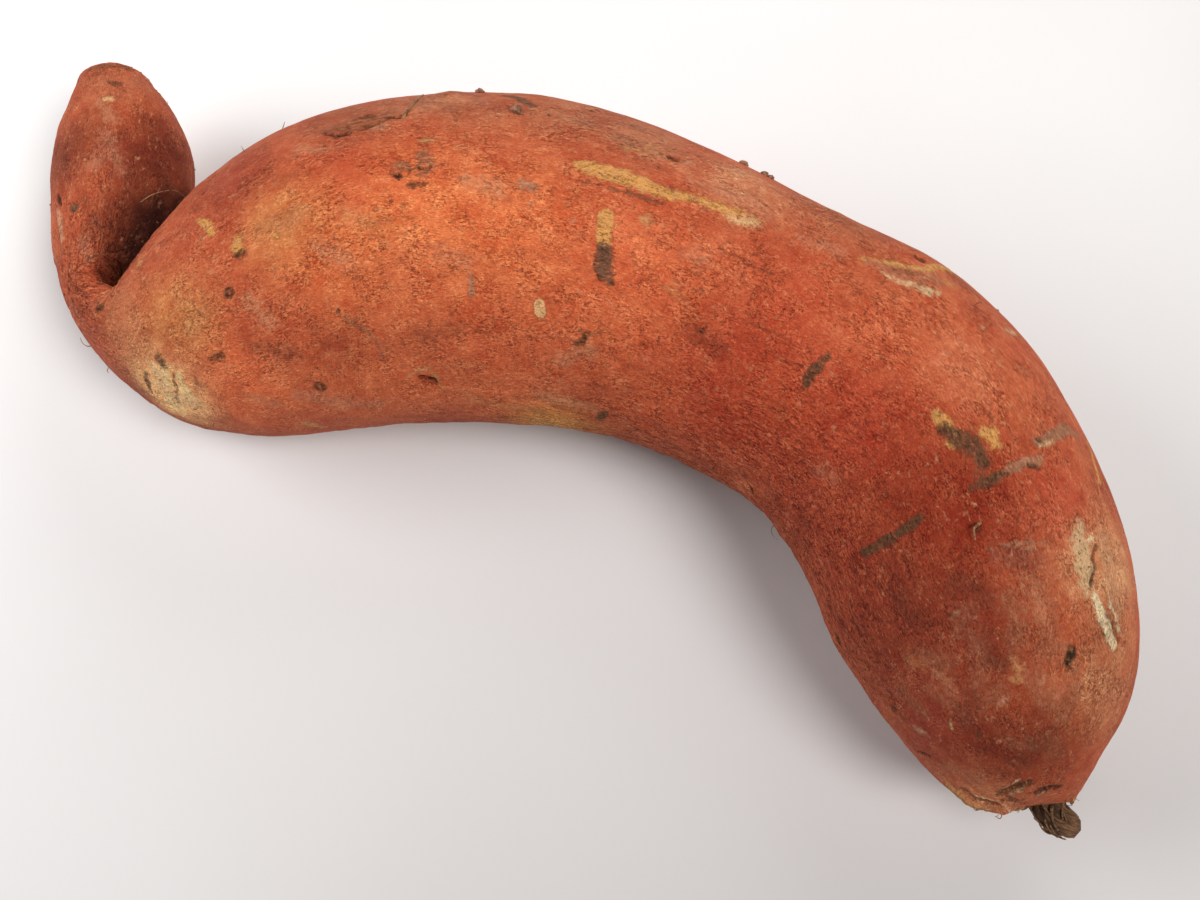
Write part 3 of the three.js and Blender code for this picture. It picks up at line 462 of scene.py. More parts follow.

# Broad soft marks with no relief: layer, colour, raggedness, middle lines.
SOFT_MARKS = [
    (A, PINKTAN, 1.4, [
        [(-88.2, 47.7, 30.4, 1.2), (-87.1, 48.7, 30.5, 1.2)],
    ]),
    (A, MAUVE, 1.4, [
        [(71.1, -35.6, 52, 1.4), (74.1, -36.6, 52.1, 2), (76.8, -37.2, 52.1, 1.5)],
    ]),
    (A, PALE_TAN, 1.5, [
        [(75.7, -39.9, 51.6, 1.2), (77.4, -43.2, 51, 1.5), (77.5, -46.6, 50.2, 1.2)],
    ]),
    (A, OCHRE, 1.5, [
        [(58.8, -49.6, 40.1, 1.1), (60.6, -50.7, 41.2, 1.3)],
        [(21.5, 8.2, 55.4, 0.82), (22.8, 6.8, 54.8, 0.98)],
    ]),
    (A, BROWN, 1.5, [
        [(79.5, -63, 41, 1.7), (81, -65, 38.6, 1.4)],
    ]),
    (A, PINKTAN, 1.5, [
        [(24.4, 13.2, 57.2, 1.1), (27, 12.1, 56.9, 0.98)],
        [(45.8, -19.5, 44.2, 0.99), (48.1, -21.4, 44.9, 0.82)],
        [(-86.1, 54.9, 30.7, 1.2), (-84.3, 50.5, 30.5, 1.3), (-82.1, 46.5, 29.8, 0.96)],
        [(-87.8, 31.4, 29.6, 0.94), (-85.4, 27.2, 30.4, 1.1)],
    ]),
    (B, UMBER, 1.5, [
        [(76.9, -48.8, 49.5, 0.46), (78.4, -50.2, 49.1, 0.61)],
    ]),
    (A, PALE_TAN, 1.4, [
        [(62.4, -51.7, 42.3, 0.94), (64.5, -55.1, 41.8, 0.94)],
        [(-0.6, -3.8, 38.6, 1.2), (5.4, -4.9, 37.2, 1.4), (9.7, -5.8, 35.7, 1)],
        [(-48.9, 8.7, 50, 1.2), (-46, 5.4, 48.2, 1.2)],
        [(-12.5, 25.6, 60, 1.3), (-6.7, 23.8, 59.8, 1.5)],
        [(3, -0.6, 46, 1), (8, 0.4, 48.1, 1.2)],
        [(-36.6, 15.1, 55.5, 1.3), (-31.5, 13, 55.2, 1.2)],
        [(11.7, 36.4, 56.5, 0.85), (18.2, 33.8, 56.2, 1), (23.3, 32.2, 55.6, 1)],
        [(-41.4, 34.2, 55.6, 1), (-35.8, 33.1, 57.3, 0.84)],
        [(-88.5, 62.5, 29.6, 0.98), (-85.3, 57.8, 30.4, 1.2)],
    ]),
    (A, DUN, 1.4, [
        [(72, -42.2, 50.8, 1.4), (73.9, -46.1, 50.2, 1.8), (73, -50.4, 48.6, 1.2)],
        [(75.7, -54.2, 47.3, 1.5), (78.7, -57.5, 45.4, 1.4)],
        [(60.5, -49.2, 42.2, 1.1), (64, -51.1, 44, 1.4)],
        [(71.5, -55.4, 45.7, 1.1), (69.5, -57.8, 43.1, 1.2)],
        [(80.6, -50.2, 48.8, 1.2), (82, -53.3, 47.3, 1.2)],
        [(73.8, -62.9, 40.5, 1.2), (77.1, -63.6, 40.5, 1.2)],
        [(66.6, -44.2, 48.6, 0.93), (65.2, -47, 46.9, 1.1)],
        [(58.4, -53.9, 34.5, 1.1), (61.4, -57.5, 35.3, 1.3)],
        [(66.7, -65.7, 29.3, 0.98), (70.1, -67.4, 31.1, 1.1)],
    ]),
    (B, DUSK, 1.4, [
        [(65.2, -40.3, 49.3, 1.7), (69.1, -42.7, 50.1, 1.4)],
        [(67.7, -56.3, 43.4, 1.2), (66.6, -59.7, 39.3, 1.6)],
        [(77.7, -62.1, 42.1, 0.93), (75.7, -66.1, 37.2, 1.3)],
        [(69.6, -48.5, 48.3, 1.2), (71.1, -52.6, 47.1, 1.1)],
        [(57.3, -41.2, 43.9, 1.4), (59.4, -44.5, 44.1, 1.3)],
        [(-49.6, 2.7, 45, 1.2), (-42.8, 1.5, 44.7, 1.4)],
        [(-20.4, 3.1, 48.1, 1.2), (-14.5, 3.6, 49, 1.3)],
        [(24.5, 2, 52.3, 1.1), (29.4, -1, 51.1, 1.3)],
        [(-88.6, 40.1, 29.5, 1.1), (-86.1, 35.3, 29.6, 1.1)],
    ]),
    (A, DUN, 1.45, [
        [(77.2, -41.4, 51.4, 1.4), (78.8, -45.9, 50.3, 1.7), (78.1, -50.2, 49.1, 1.5)],
        [(67.5, -48.4, 47.6, 1.4), (69, -52.1, 46.6, 1.5), (68.2, -55.5, 44.1, 1.2)],
        [(62, -54.7, 39.5, 1.3), (65.4, -57.3, 40.7, 1.4)],
        [(82.6, -55.8, 45.9, 1.4), (80.8, -59.3, 44.1, 1.4)],
    ]),
]

# --- broken rootlets: name, radius, and points (x, y, z, height above the skin) ---
ROOTLETS = [
    ("fold hair", 0.13, [(-78.2, 40.9, 27.4, 0.2), (-77.7, 42.4, 27.1, 2.2),
        (-76.4, 43.8, 26.2, 3.2), (-74.7, 45.3, 24.2, 3), (-73, 46.2, 20.4, 1)]),
    ("edge hair a", 0.1, [(-53.7, 39.7, 46.5, 0), (-54.7, 42.1, 43.4, 0.8)]),
    ("edge hair b", 0.1, [(-47.1, 44, 47.3, 0), (-47, 46.1, 45, 0.9)]),
    ("rootlet stick", 0.3, [(-24.3, 40, 56.7, -0.3), (-23, 42.1, 55.7, 0.3),
        (-21, 45.7, 53.5, 0.9)]),
    ("scab hair", 0.1, [(7.4, 2, 49.7, 0.2), (9.2, 2.4, 50.4, 0.6), (11.4, 2.9, 51, 0.3)]),
    ("dimple rootlet", 0.28, [(68.9, -31.1, 52.3, -0.2), (67.9, -31.4, 52, 1),
        (67.5, -32.3, 51.8, 1.2), (67.9, -33.6, 51.7, 0.6)]),
    ("scratch hair", 0.06, [(-33.2, 5.7, 50, 0.1), (-31.7, 4.9, 49.4, 0.4),
        (-29.3, 3.8, 48.3, 0.3), (-27.8, 2.5, 47, 0.5), (-26.9, 0.7, 44.4, 0.2)]),
]

# Seeds and counts of what is scattered at random.
HIDDEN_SEED, HIDDEN_COUNT = 11, 56
FIBRE_SEED, FIBRE_COUNT = 5, 26
ROOTLET_SEED, ROOTLET_COUNT = 17, 70
SOIL_SEED, SOIL_COUNT = 29, 90

OUTSIDE = -9.0  # millimetres, the depth where no mark is near
RELIEF = 0.0004  # metres, the reach of the skin's and the stub's bump

# What the skin's colour is multiplied by.
DEEPENED = (0.88, 0.54, 0.42)
BRIGHTENED = (1.38, 1.62, 1.5)
PALED = (1.3, 2.0, 2.2)
DUSTED = (1.22, 1.6, 1.75)
BROWNED = (0.68, 0.6, 0.6)
FURROWED = (0.6, 0.32, 0.26)
CREASED = (0.5, 0.26, 0.22)

# The light through the window: a soft spot. Lengths in metres, angles in degrees.
WINDOW_POWER = 150
WINDOW_RADIUS = 0.5
WINDOW_CONE = 38
WINDOW_DISTANCE = 1.6
WINDOW_TURN, WINDOW_HEIGHT = 62, 58
WINDOW_AIM = (0.0, 0.19, 0)
WINDOW_COLOUR = (1.0, 0.99, 0.975)
WORLD_COLOUR, WORLD_STRENGTH = (1.0, 0.985, 0.97, 1), 0.09

# The floor, in metres; its darker patch is a painted shadow, not cast by anything.
FLOOR_HALF, FLOOR_LEVEL = 3.0, -0.00015
FLOOR_PALE = [(0.78, 0.76, 0.755), (0.81, 0.795, 0.79)]
FLOOR_SHADOW, FLOOR_SHADOW_AT = (0.47, 0.43, 0.42), (0.03, -0.125, 0)

# Where the skin is drawn into lengthwise wrinkles: middle, reach, depth.
WRINKLED = [
    ((48, -12, 20), 24, 0.34),  # the inner side of the bend
    ((22, -2, 18), 24, 0.26),
    ((-12, -2, 20), 22, 0.16),
    ((58, -36, 22), 22, 0.22),
    ((-62, 8, 14), 22, 0.16),
    ((-81, 23, 26), 14, 0.3),  # the fold
]

# The fold: how far the tail's flank draws back, and the line and depth of its end.
TAIL_FLANK_MOVE = 4.5
FOLD_END = [(-79.5, 27.5, 27, 3.2), (-79.3, 23.5, 29.5, 3.0), (-77.5, 19.5, 34.5, 2.4)]
FOLD_END_DROP = 6.0

# Bumps and hollows: name, middle, reach, height.
BUMPS = [
    ("knob on the top edge", (-17, 49, 52), 2.6, 0.7),
    ("shelf on the top edge", (-2, 47, 52), 5.0, 0.5),
    ("dent before it", (-10, 49, 51), 2.6, -0.4),
    ("dented ground", (-32, 39, 56), 7.0, -0.7),
    ("swelling under the dents", (-36, 29, 58), 8.0, 0.5),
    ("hollow by the notch", (-22, 27, 60), 3.5, -0.55),
    ("hollow before the bend", (26, 0, 52), 5.0, -0.5),
    ("hollow on the belly", (-20, -2, 40), 5.0, -0.5),
    ("shoulder of the bend", (52, 24, 49), 6.0, 0.7),
    ("hollow under it", (58, 12, 52), 6.0, -0.5),
    ("knuckle on the bend", (66, 18, 47), 4.0, 0.6),
    ("hollow at the outer scar", (85, -40, 50), 5.0, -0.45),
    ("ridge by the outer scar", (91, -42, 46), 3.5, 0.4),
    ("hollow on the leg", (72, -50, 50), 6.0, -0.4),
    ("hollow at the dimple", (68, -32, 52), 3.0, -0.35),
    ("ochre hollow", (-51, 17, 53), 4.0, -0.6),
    ("left end, facet", (-66, 0, 34), 6.0, -0.5),
    ("tail's shoulder", (-93.5, 69, 24), 2.4, 0.7),
    ("notch under it", (-94.5, 64, 23), 2.6, -0.9),
    ("tail, hollow", (-87, 56, 30), 6.0, -0.4),
    ("tail, swelling", (-82, 66, 27), 5.0, 0.4),
    ("tail's knob", (-72, 50, 21), 2.5, 0.5),
    ("callus lump", (76.4, -71.4, 23.5), 1.8, 1.3),
    ("callus lump b", (71.5, -70.2, 23.5), 2.2, 0.7),
    ("callus gap", (80.5, -71.5, 23), 1.6, -0.8),
]

# The dry stalk's stub: x, y, z, radius.
STUB_PATH = [
    (84.4, -67.6, 20.8, 3.2),
    (84.6, -69.6, 20.4, 3.3),
    (85.1, -71.2, 19.8, 3.15),
    (86.1, -72.4, 19.3, 2.9),
    (87.5, -73.3, 18.9, 2.6),
    (88.8, -74.0, 18.6, 2.3),
    (89.8, -74.4, 18.5, 1.9),
]

# Lumps of dry soil on the skin: x, y, z, radius.
SOIL = [
    (-11.9, 51.5, 49.3, 0.8),
    (-4.6, 41.0, 56.2, 1.15),
    (35.7, 37.9, 47.0, 0.75),
    (39.4, 36.3, 46.4, 0.7),
    (40.6, 35.8, 46.0, 0.6),
    (1.0, 40.8, 55.9, 0.35),
]


# ---------------------------------------------------------------- noise and curves


def hashed(cell, seed):
    """A whole number for each row of whole numbers, the same every run."""
    h = cell[:, 0] * 374761393 + cell[:, 1] * 668265263 + cell[:, 2] * 2147483647
    h = (h + seed * 1274126177) & 0xFFFFFFFF
    h = ((h ^ (h >> 13)) * 1274126177) & 0xFFFFFFFF
    h = ((h ^ (h >> 16)) * 2246822519) & 0xFFFFFFFF
    return h ^ (h >> 15)


def noise(points, seed=0):
    """Gradient noise, about -1 to 1, at each row of points."""
    cell = np.floor(points).astype(np.int64)
    f = points - cell
    ease = f * f * f * (f * (f * 6 - 15) + 10)
    total = np.zeros(len(points))
    for dx in (0, 1):
        for dy in (0, 1):
            for dz in (0, 1):
                d = np.array((dx, dy, dz))
                h = hashed(cell + d, seed)
                slope = (
                    np.stack([h & 1023, (h >> 10) & 1023, (h >> 20) & 1023], 1) / 511.5
                    - 1
                )
                w = np.abs(1 - d - ease).prod(1)
                total += w * ((f - d) * slope).sum(1)
    return total * 1.25


def layered_noise(points, seed=0, layers=3):
    return sum(noise(points * 2**k, seed + k) / 2**k for k in range(layers))


def smooth_step(low, high, value):
    t = np.clip((value - low) / (high - low), 0, 1)
    return t * t * (3 - 2 * t)


def curve_through(points, steps):
    """Catmull-Rom through rows of any width, steps samples between each two."""
    p = np.array(points, float)
    p = np.vstack([2 * p[0] - p[1], p, 2 * p[-1] - p[-2]])
    t = np.linspace(0, 1, steps, endpoint=False)[:, None]
    rows = []
    for a, b, c, d in zip(p[:-3], p[1:-2], p[2:-1], p[3:]):
        rows.append(
            0.5
            * (
                2 * b
                + (c - a) * t
                + (2 * a - 5 * b + 4 * c - d) * t**2
                + (3 * b - a - 3 * c + d) * t**3
            )
        )
    return np.vstack([*rows, p[-2]])


def lengths_along(points):
    """How far along its line each point is."""
    steps = np.linalg.norm(np.diff(points, axis=0), axis=1)
    return np.concatenate([[0], np.cumsum(steps)])


# ---------------------------------------------------------------- the skin's mesh


def coordinates(mesh):
    co = np.empty(len(mesh.vertices) * 3, np.float32)
    mesh.vertices.foreach_get("co", co)
    return co.reshape(-1, 3).astype(float) / MM


def normals(mesh):
    no = np.empty(len(mesh.vertices) * 3, np.float32)
    mesh.vertex_normals.foreach_get("vector", no)
    return no.reshape(-1, 3).astype(float)


def set_coordinates(mesh, co):
    mesh.vertices.foreach_set("co", (co * MM).astype(np.float32).ravel())
    mesh.update()


def edge_pairs(mesh):
    pairs = np.empty(len(mesh.edges) * 2, np.int32)
    mesh.edges.foreach_get("vertices", pairs)
    return pairs.reshape(-1, 2)


def relaxed(mesh, co, rounds, weight):
    """co after rounds of moving each vertex towards its neighbours by weight."""
    a, b = edge_pairs(mesh).T
    count = np.bincount(np.concatenate([a, b]), minlength=len(co))[:, None]
    for _ in range(rounds):
        total = np.zeros_like(co)
        np.add.at(total, a, co[b])
        np.add.at(total, b, co[a])
        co = co + weight * (total / count - co)
    return co


def object_from(mesh, name):
    o = bpy.data.objects.new(name, mesh)
    bpy.context.scene.collection.objects.link(o)
    for p in mesh.polygons:
        p.use_smooth = True
    return o


def skin_base():
    """The CAD root's surface, its triangles joined to quads and subdivided twice."""
    bm = bmesh.new()
    bm.from_mesh(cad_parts["storage_root"].data)
    bmesh.ops.remove_doubles(bm, verts=bm.verts, dist=0.04 * MM)
    bmesh.ops.join_triangles(
        bm,
        faces=bm.faces,
        angle_face_threshold=math.radians(30),
        angle_shape_threshold=math.radians(50),
    )
    mesh = bpy.data.meshes.new("skin")
    bm.to_mesh(mesh)
    bm.free()
    o = object_from(mesh, "sweet_potato_skin")
    o.modifiers.new("subdivide", "SUBSURF").levels = 2
    smooth = bpy.data.meshes.new_from_object(
        o.evaluated_get(bpy.context.evaluated_depsgraph_get())
    )
    o.modifiers.clear()
    o.data = smooth
    bpy.data.meshes.remove(mesh)
    return o


def straightened(co):
    """Each point as if the root were straight: along it, and across it two ways."""
    spine = curve_through(SPINE, 24)
    middle, radius = spine[:, :3], spine[:, 3]
    along = np.gradient(middle, axis=0)
    step = np.linalg.norm(along, axis=1)
    along /= step[:, None]
    length = lengths_along(middle)
    side = np.cross(along, (0, 0, 1))
    side /= np.linalg.norm(side, axis=1)[:, None]
    top = np.cross(side, along)
    nearest = np.empty(len(co), int)
    for start in range(0, len(co), 4000):
        away = co[start : start + 4000, None] - middle
        nearest[start : start + 4000] = ((away**2).sum(2) / radius**2).argmin(1)
    away = co - middle[nearest]
    return np.stack(
        [
            length[nearest] + (away * along[nearest]).sum(1),
            (away * side[nearest]).sum(1),
            (away * top[nearest]).sum(1),
        ],
        1,
    )


def depth_inside(co, line):
    """How far each point is inside a mark of that middle line, below 0 outside it."""
    best = np.full(len(co), OUTSIDE)
    line = np.array(line, float)
    low, high = line[:, :3].min(0) + OUTSIDE, line[:, :3].max(0) - OUTSIDE
    near = np.flatnonzero(((co > low) & (co < high)).all(1))
    p = co[near]
    deepest = np.full(len(near), OUTSIDE)
    if len(line) == 1:
        line = np.vstack([line, line])
    for a, b in zip(line[:-1], line[1:]):
        run = b[:3] - a[:3]
        t = ((p - a[:3]) @ run / max(run @ run, 1e-9)).clip(0, 1)
        gap = np.linalg.norm(p - a[:3] - t[:, None] * run, axis=1)
        deepest = np.maximum(deepest, a[3] + t * (b[3] - a[3]) - gap)
    best[near] = deepest
    return best


def hidden_marks(o):
    """Marks for the back and the underside, of the kinds that the top has."""
    rng = random.Random(HIDDEN_SEED)
    co, no = coordinates(o.data), normals(o.data)
    ok = np.flatnonzero((no[:, 2] < 0.15) & (co[:, 2] > 2.5) | (no[:, 2] < -0.2))
    kinds = [
        (A, TAN, 0.18, 0.4, 1.0, 5),
        (A, GREYTAN, 0.12, 0.6, 0.9, 4),
        (A, PINKTAN, 0.1, 0.8, 1.0, 4),
        (B, UMBER, -0.35, 0.4, 0.6, 1),
        (B, GREYBR, 0.2, 0.4, 0.8, 3),
        (B, DARK, -0.5, 0.3, 0.4, 1),
        (B, UMBER, -0.2, 0.5, 0.7, 2),
        (A, OCHRE, 0.03, 1.3, 1.8, 3),
    ]
    made = []
    for k in range(HIDDEN_COUNT):
        layer, colour, height, rag, width, length = kinds[rng.randrange(len(kinds))]
        at = ok[rng.randrange(len(ok))]
        n = Vector(no[at])
        turn = rng.uniform(0, math.tau)
        run = n.orthogonal().normalized() * math.cos(turn)
        run += n.cross(n.orthogonal()).normalized() * math.sin(turn)
        size = rng.uniform(0.5, 1.25)
        half = length * size / 2
        line = [
            (*(co[at] + np.array(run) * half * t), width * size * (1 - 0.4 * abs(t)))
            for t in (-1, 0, 1)
        ]
        made.append((f"hidden {k}", layer, colour, height, rag, line))
    return made


def snapped(line, tree):
    """The middle line's points moved onto the skin."""
    return [
        (*(tree.find_nearest(Vector(p[:3]) * MM)[0] / MM), p[3]) for p in line
    ]


def denser_near_marks(o, marks):
    """Splits the skin's faces once more around the marks that have a relief."""
    co = coordinates(o.data)
    wanted = np.zeros(len(co), bool)
    for _, layer, _, height, _, line in marks:
        if height:
            wanted |= depth_inside(co, line) > (-1.1 if layer != R else -2.0)
    bm = bmesh.new()
    bm.from_mesh(o.data)
    bm.verts.ensure_lookup_table()
    edges = [e for e in bm.edges if wanted[e.verts[0].index] and wanted[e.verts[1].index]]
    bmesh.ops.subdivide_edges(bm, edges=edges, cuts=1, use_grid_fill=True, smooth=0.5)
    bmesh.ops.triangulate(bm, faces=[f for f in bm.faces if len(f.verts) > 4])
    bm.to_mesh(o.data)
    bm.free()


def store(mesh, name, kind, values):
    width = {"FLOAT": 1, "FLOAT_VECTOR": 3, "FLOAT_COLOR": 4}[kind]
    field = {"FLOAT": "value", "FLOAT_VECTOR": "vector", "FLOAT_COLOR": "color"}[kind]
    attribute = mesh.attributes.new(name, kind, "POINT")
    attribute.data.foreach_set(
        field, np.ascontiguousarray(values, np.float32).reshape(-1, width).ravel()
    )


def fold_opened(co, no):
    """Moves that make the gap between the tail and the body wider and its end deeper."""
    x, y, z = co.T
    tail = smooth_step(0, 2, -72.5 + 0.62 * (y - 33) - x)
    along = smooth_step(15, 24, y) * smooth_step(49, 35, y)
    side = np.maximum(no[:, 0], 0) * tail * along * smooth_step(33, 27, z)
    move = np.zeros_like(co)
    move[:, 0] = -TAIL_FLANK_MOVE * side
    move[:, 2] = -0.4 * TAIL_FLANK_MOVE * side
    pocket = depth_inside(co, FOLD_END) / FOLD_END[0][3]
    move[:, 2] -= FOLD_END_DROP * smooth_step(0, 1, pocket)
    return move


def make_skin():
    o = skin_base()
    mesh = o.data
    co = relaxed(mesh, coordinates(mesh), 3, 0.5)
    set_coordinates(mesh, co)
    tree = BVHTree.FromObject(o, bpy.context.evaluated_depsgraph_get())
    listed = MARKS + [
        ("soft", layer, colour, 0, rag, line)
        for layer, colour, rag, lines in SOFT_MARKS
        for line in lines
    ]
    marks = [(*m[:5], snapped(m[5], tree)) for m in listed] + hidden_marks(o)
    denser_near_marks(o, marks)
    co, no = coordinates(mesh), normals(mesh)
    grain = straightened(co)
    out = 0.5 * noise(grain / (34, 21, 21), 1)
    out += 0.22 * noise(grain / (9, 7, 7), 2)
    out += 0.075 * layered_noise(grain / (3.4, 2.4, 2.4), 3, 2)
    out += 0.04 * noise(grain / (1.8, 1.1, 1.1), 5)
    for _, middle, reach, height in BUMPS:
        out += height * np.exp(-((co - middle) ** 2).sum(1) / reach**2)

    # lengthwise wrinkles: narrow furrows between broad ridges
    ripple = layered_noise(grain / (9, 1.9, 1.9), 7, 2)
    furrow = -np.exp(-((ripple / 0.15) ** 2))
    amount = np.full(len(co), 0.05)
    for middle, reach, depth in WRINKLED:
        amount += depth * np.exp(-(((co - middle) ** 2).sum(1) / reach**2))
    out += amount * (furrow + 0.35 * ripple)

    # marks
    layers = {}
    for layer in (A, B):
        layers[layer] = [np.full(len(co), OUTSIDE), np.zeros((len(co), 4))]
    rough = 0.5 + 0.5 * noise(grain / 0.9, 9)
    warp = [noise(co / 2.6, s) + 0.5 * noise(co / 1.1, s + 3) for s in (51, 52, 53)]
    warp = np.stack(warp, 1)
    for _, layer, colour, height, rag, line in marks:
        if layer == R:
            point = np.array(line[0])
            gap = np.linalg.norm(co - point[:3], axis=1)
            depth = 0.32 - np.abs(gap - point[3])
        else:
            depth = depth_inside(co + warp * min(0.75, 0.3 + 0.6 * rag), line)
        deepest, colours = layers[B if layer == R else layer]
        here = depth > deepest
        colours[here] = (*colour, rag)
        deepest[here] = depth[here]
        if height > 0:
            out += height * smooth_step(-0.35, 0.7, depth) * (0.55 + 0.9 * rough)
        elif height < 0:
            out += height * smooth_step(-0.45, 0.8, depth)
            out -= 0.3 * height * np.exp(-(((depth + 0.75) / 0.45) ** 2))
    co = co + no * out[:, None]
    co += fold_opened(co, no)
    co[:, 2] = np.maximum(co[:, 2], 0)
    set_coordinates(mesh, co)

    # broad colour
    base = np.tile(BASE_RED, (len(co), 1))
    patches = noise(grain / (26, 15, 15), 21)[:, None]
    base += smooth_step(0.1, 0.7, patches) * 0.5 * (np.array(SALMON) - base)
    base += smooth_step(0.1, 0.7, -patches) * 0.5 * (np.array(BROWN_RED) - base)
    cloud, patch = noise(co / 9, 23), noise(co / 3.1, 24)
    low = smooth_step(26, 4, co[:, 2])[:, None]
    base += low * 0.55 * (np.array(BROWNISH) - base)
    for _, middle, reach, colour, strength in AREAS:
        away = ((co - middle) ** 2).sum(1) * (1 + 0.4 * cloud) / reach**2
        weight = strength * np.exp(-(away**1.3) * 0.55) * (1 + 0.35 * patch)
        weight = weight.clip(0, 1)[:, None]
        base += weight * (np.array(colour) - base)
    store(mesh, "base", "FLOAT_COLOR", np.hstack([base, np.ones((len(co), 1))]))
    store(mesh, "grain", "FLOAT_VECTOR", grain)
    store(mesh, "wrinkled", "FLOAT", (amount * 3.2 - 0.1).clip(0, 1))
    for layer, (deepest, colours) in layers.items():
        store(mesh, f"depth_{layer}", "FLOAT", deepest.clip(-3, 3))
        store(mesh, f"colour_{layer}", "FLOAT_COLOR", colours)
    return o


# ---------------------------------------------------------------- node materials


class Nodes:
    """Short words for building a node tree."""

    def __init__(self, name):
        self.material = bpy.data.materials.new(name)
        self.material.use_nodes = True
        self.tree = self.material.node_tree
        self.tree.nodes.clear()

    def add(self, kind, **settings):
        node = self.tree.nodes.new("ShaderNode" + kind)
        for key, value in settings.items():
            setattr(node, key, value)
        return node

    def put(self, value, socket):
        if isinstance(value, bpy.types.NodeSocket):
            self.tree.links.new(value, socket)
        else:
            socket.default_value = value

    def attribute(self, name):
        return self.add("Attribute", attribute_name=name)

    def math(self, operation, a, b=0.0, c=0.0, clamp=False):
        node = self.add("Math", operation=operation, use_clamp=clamp)
        for value, socket in zip((a, b, c), node.inputs):
            self.put(value, socket)
        return node.outputs[0]

    def scaled(self, vector, factors):
        node = self.add("VectorMath", operation="MULTIPLY")
        self.put(vector, node.inputs[0])
        node.inputs[1].default_value = factors
        return node.outputs[0]

    def noise(self, vector, scale=1.0, detail=2.0, rough=0.5, distortion=0.0):
        node = self.add("TexNoise")
        node.inputs["Distortion"].default_value = distortion
        self.put(vector, node.inputs["Vector"])
        node.inputs["Scale"].default_value = scale
        node.inputs["Detail"].default_value = detail
        node.inputs["Roughness"].default_value = rough
        return node.outputs[0]

    def ramp(self, value, low, high, to_low=0.0, to_high=1.0):
        node = self.add("MapRange", interpolation_type="SMOOTHSTEP")
        for v, key in (
            (value, "Value"),
            (low, "From Min"),
            (high, "From Max"),
            (to_low, "To Min"),
            (to_high, "To Max"),
        ):
            self.put(v, node.inputs[key])
        return node.outputs[0]

    def mix(self, share, a, b, how="MIX"):
        node = self.add("Mix", data_type="RGBA", blend_type=how)
        self.put(share, node.inputs[0])
        for value, socket in ((a, node.inputs[6]), (b, node.inputs[7])):
            self.put((*value, 1) if isinstance(value, tuple) else value, socket)
        return node.outputs[2]

    def tinted(self, colour, factors):
        return self.mix(1.0, colour, factors, "MULTIPLY")

    def total(self, parts):
        """The sum of (value, weight) pairs, each value times its weight."""
        (value, weight), *others = parts
        total = self.math("MULTIPLY", value, weight)
        for value, weight in others:
            total = self.math("MULTIPLY_ADD", value, weight, total)
        return total

    def bump(self, height, distance, strength=1.0):
        node = self.add("Bump")
        self.put(height, node.inputs["Height"])
        node.inputs["Distance"].default_value = distance
        node.inputs["Strength"].default_value = strength
        return node.outputs[0]

    def finish(self, colour, roughness, normal, **constants):
        shader = self.add("BsdfPrincipled")
        self.put(colour, shader.inputs["Base Color"])
        self.put(roughness, shader.inputs["Roughness"])
        self.put(normal, shader.inputs["Normal"])
        for key, value in constants.items():
            shader.inputs[key.replace("_", " ")].default_value = value
        output = self.add("OutputMaterial")
        self.tree.links.new(shader.outputs[0], output.inputs["Surface"])
        return self.material


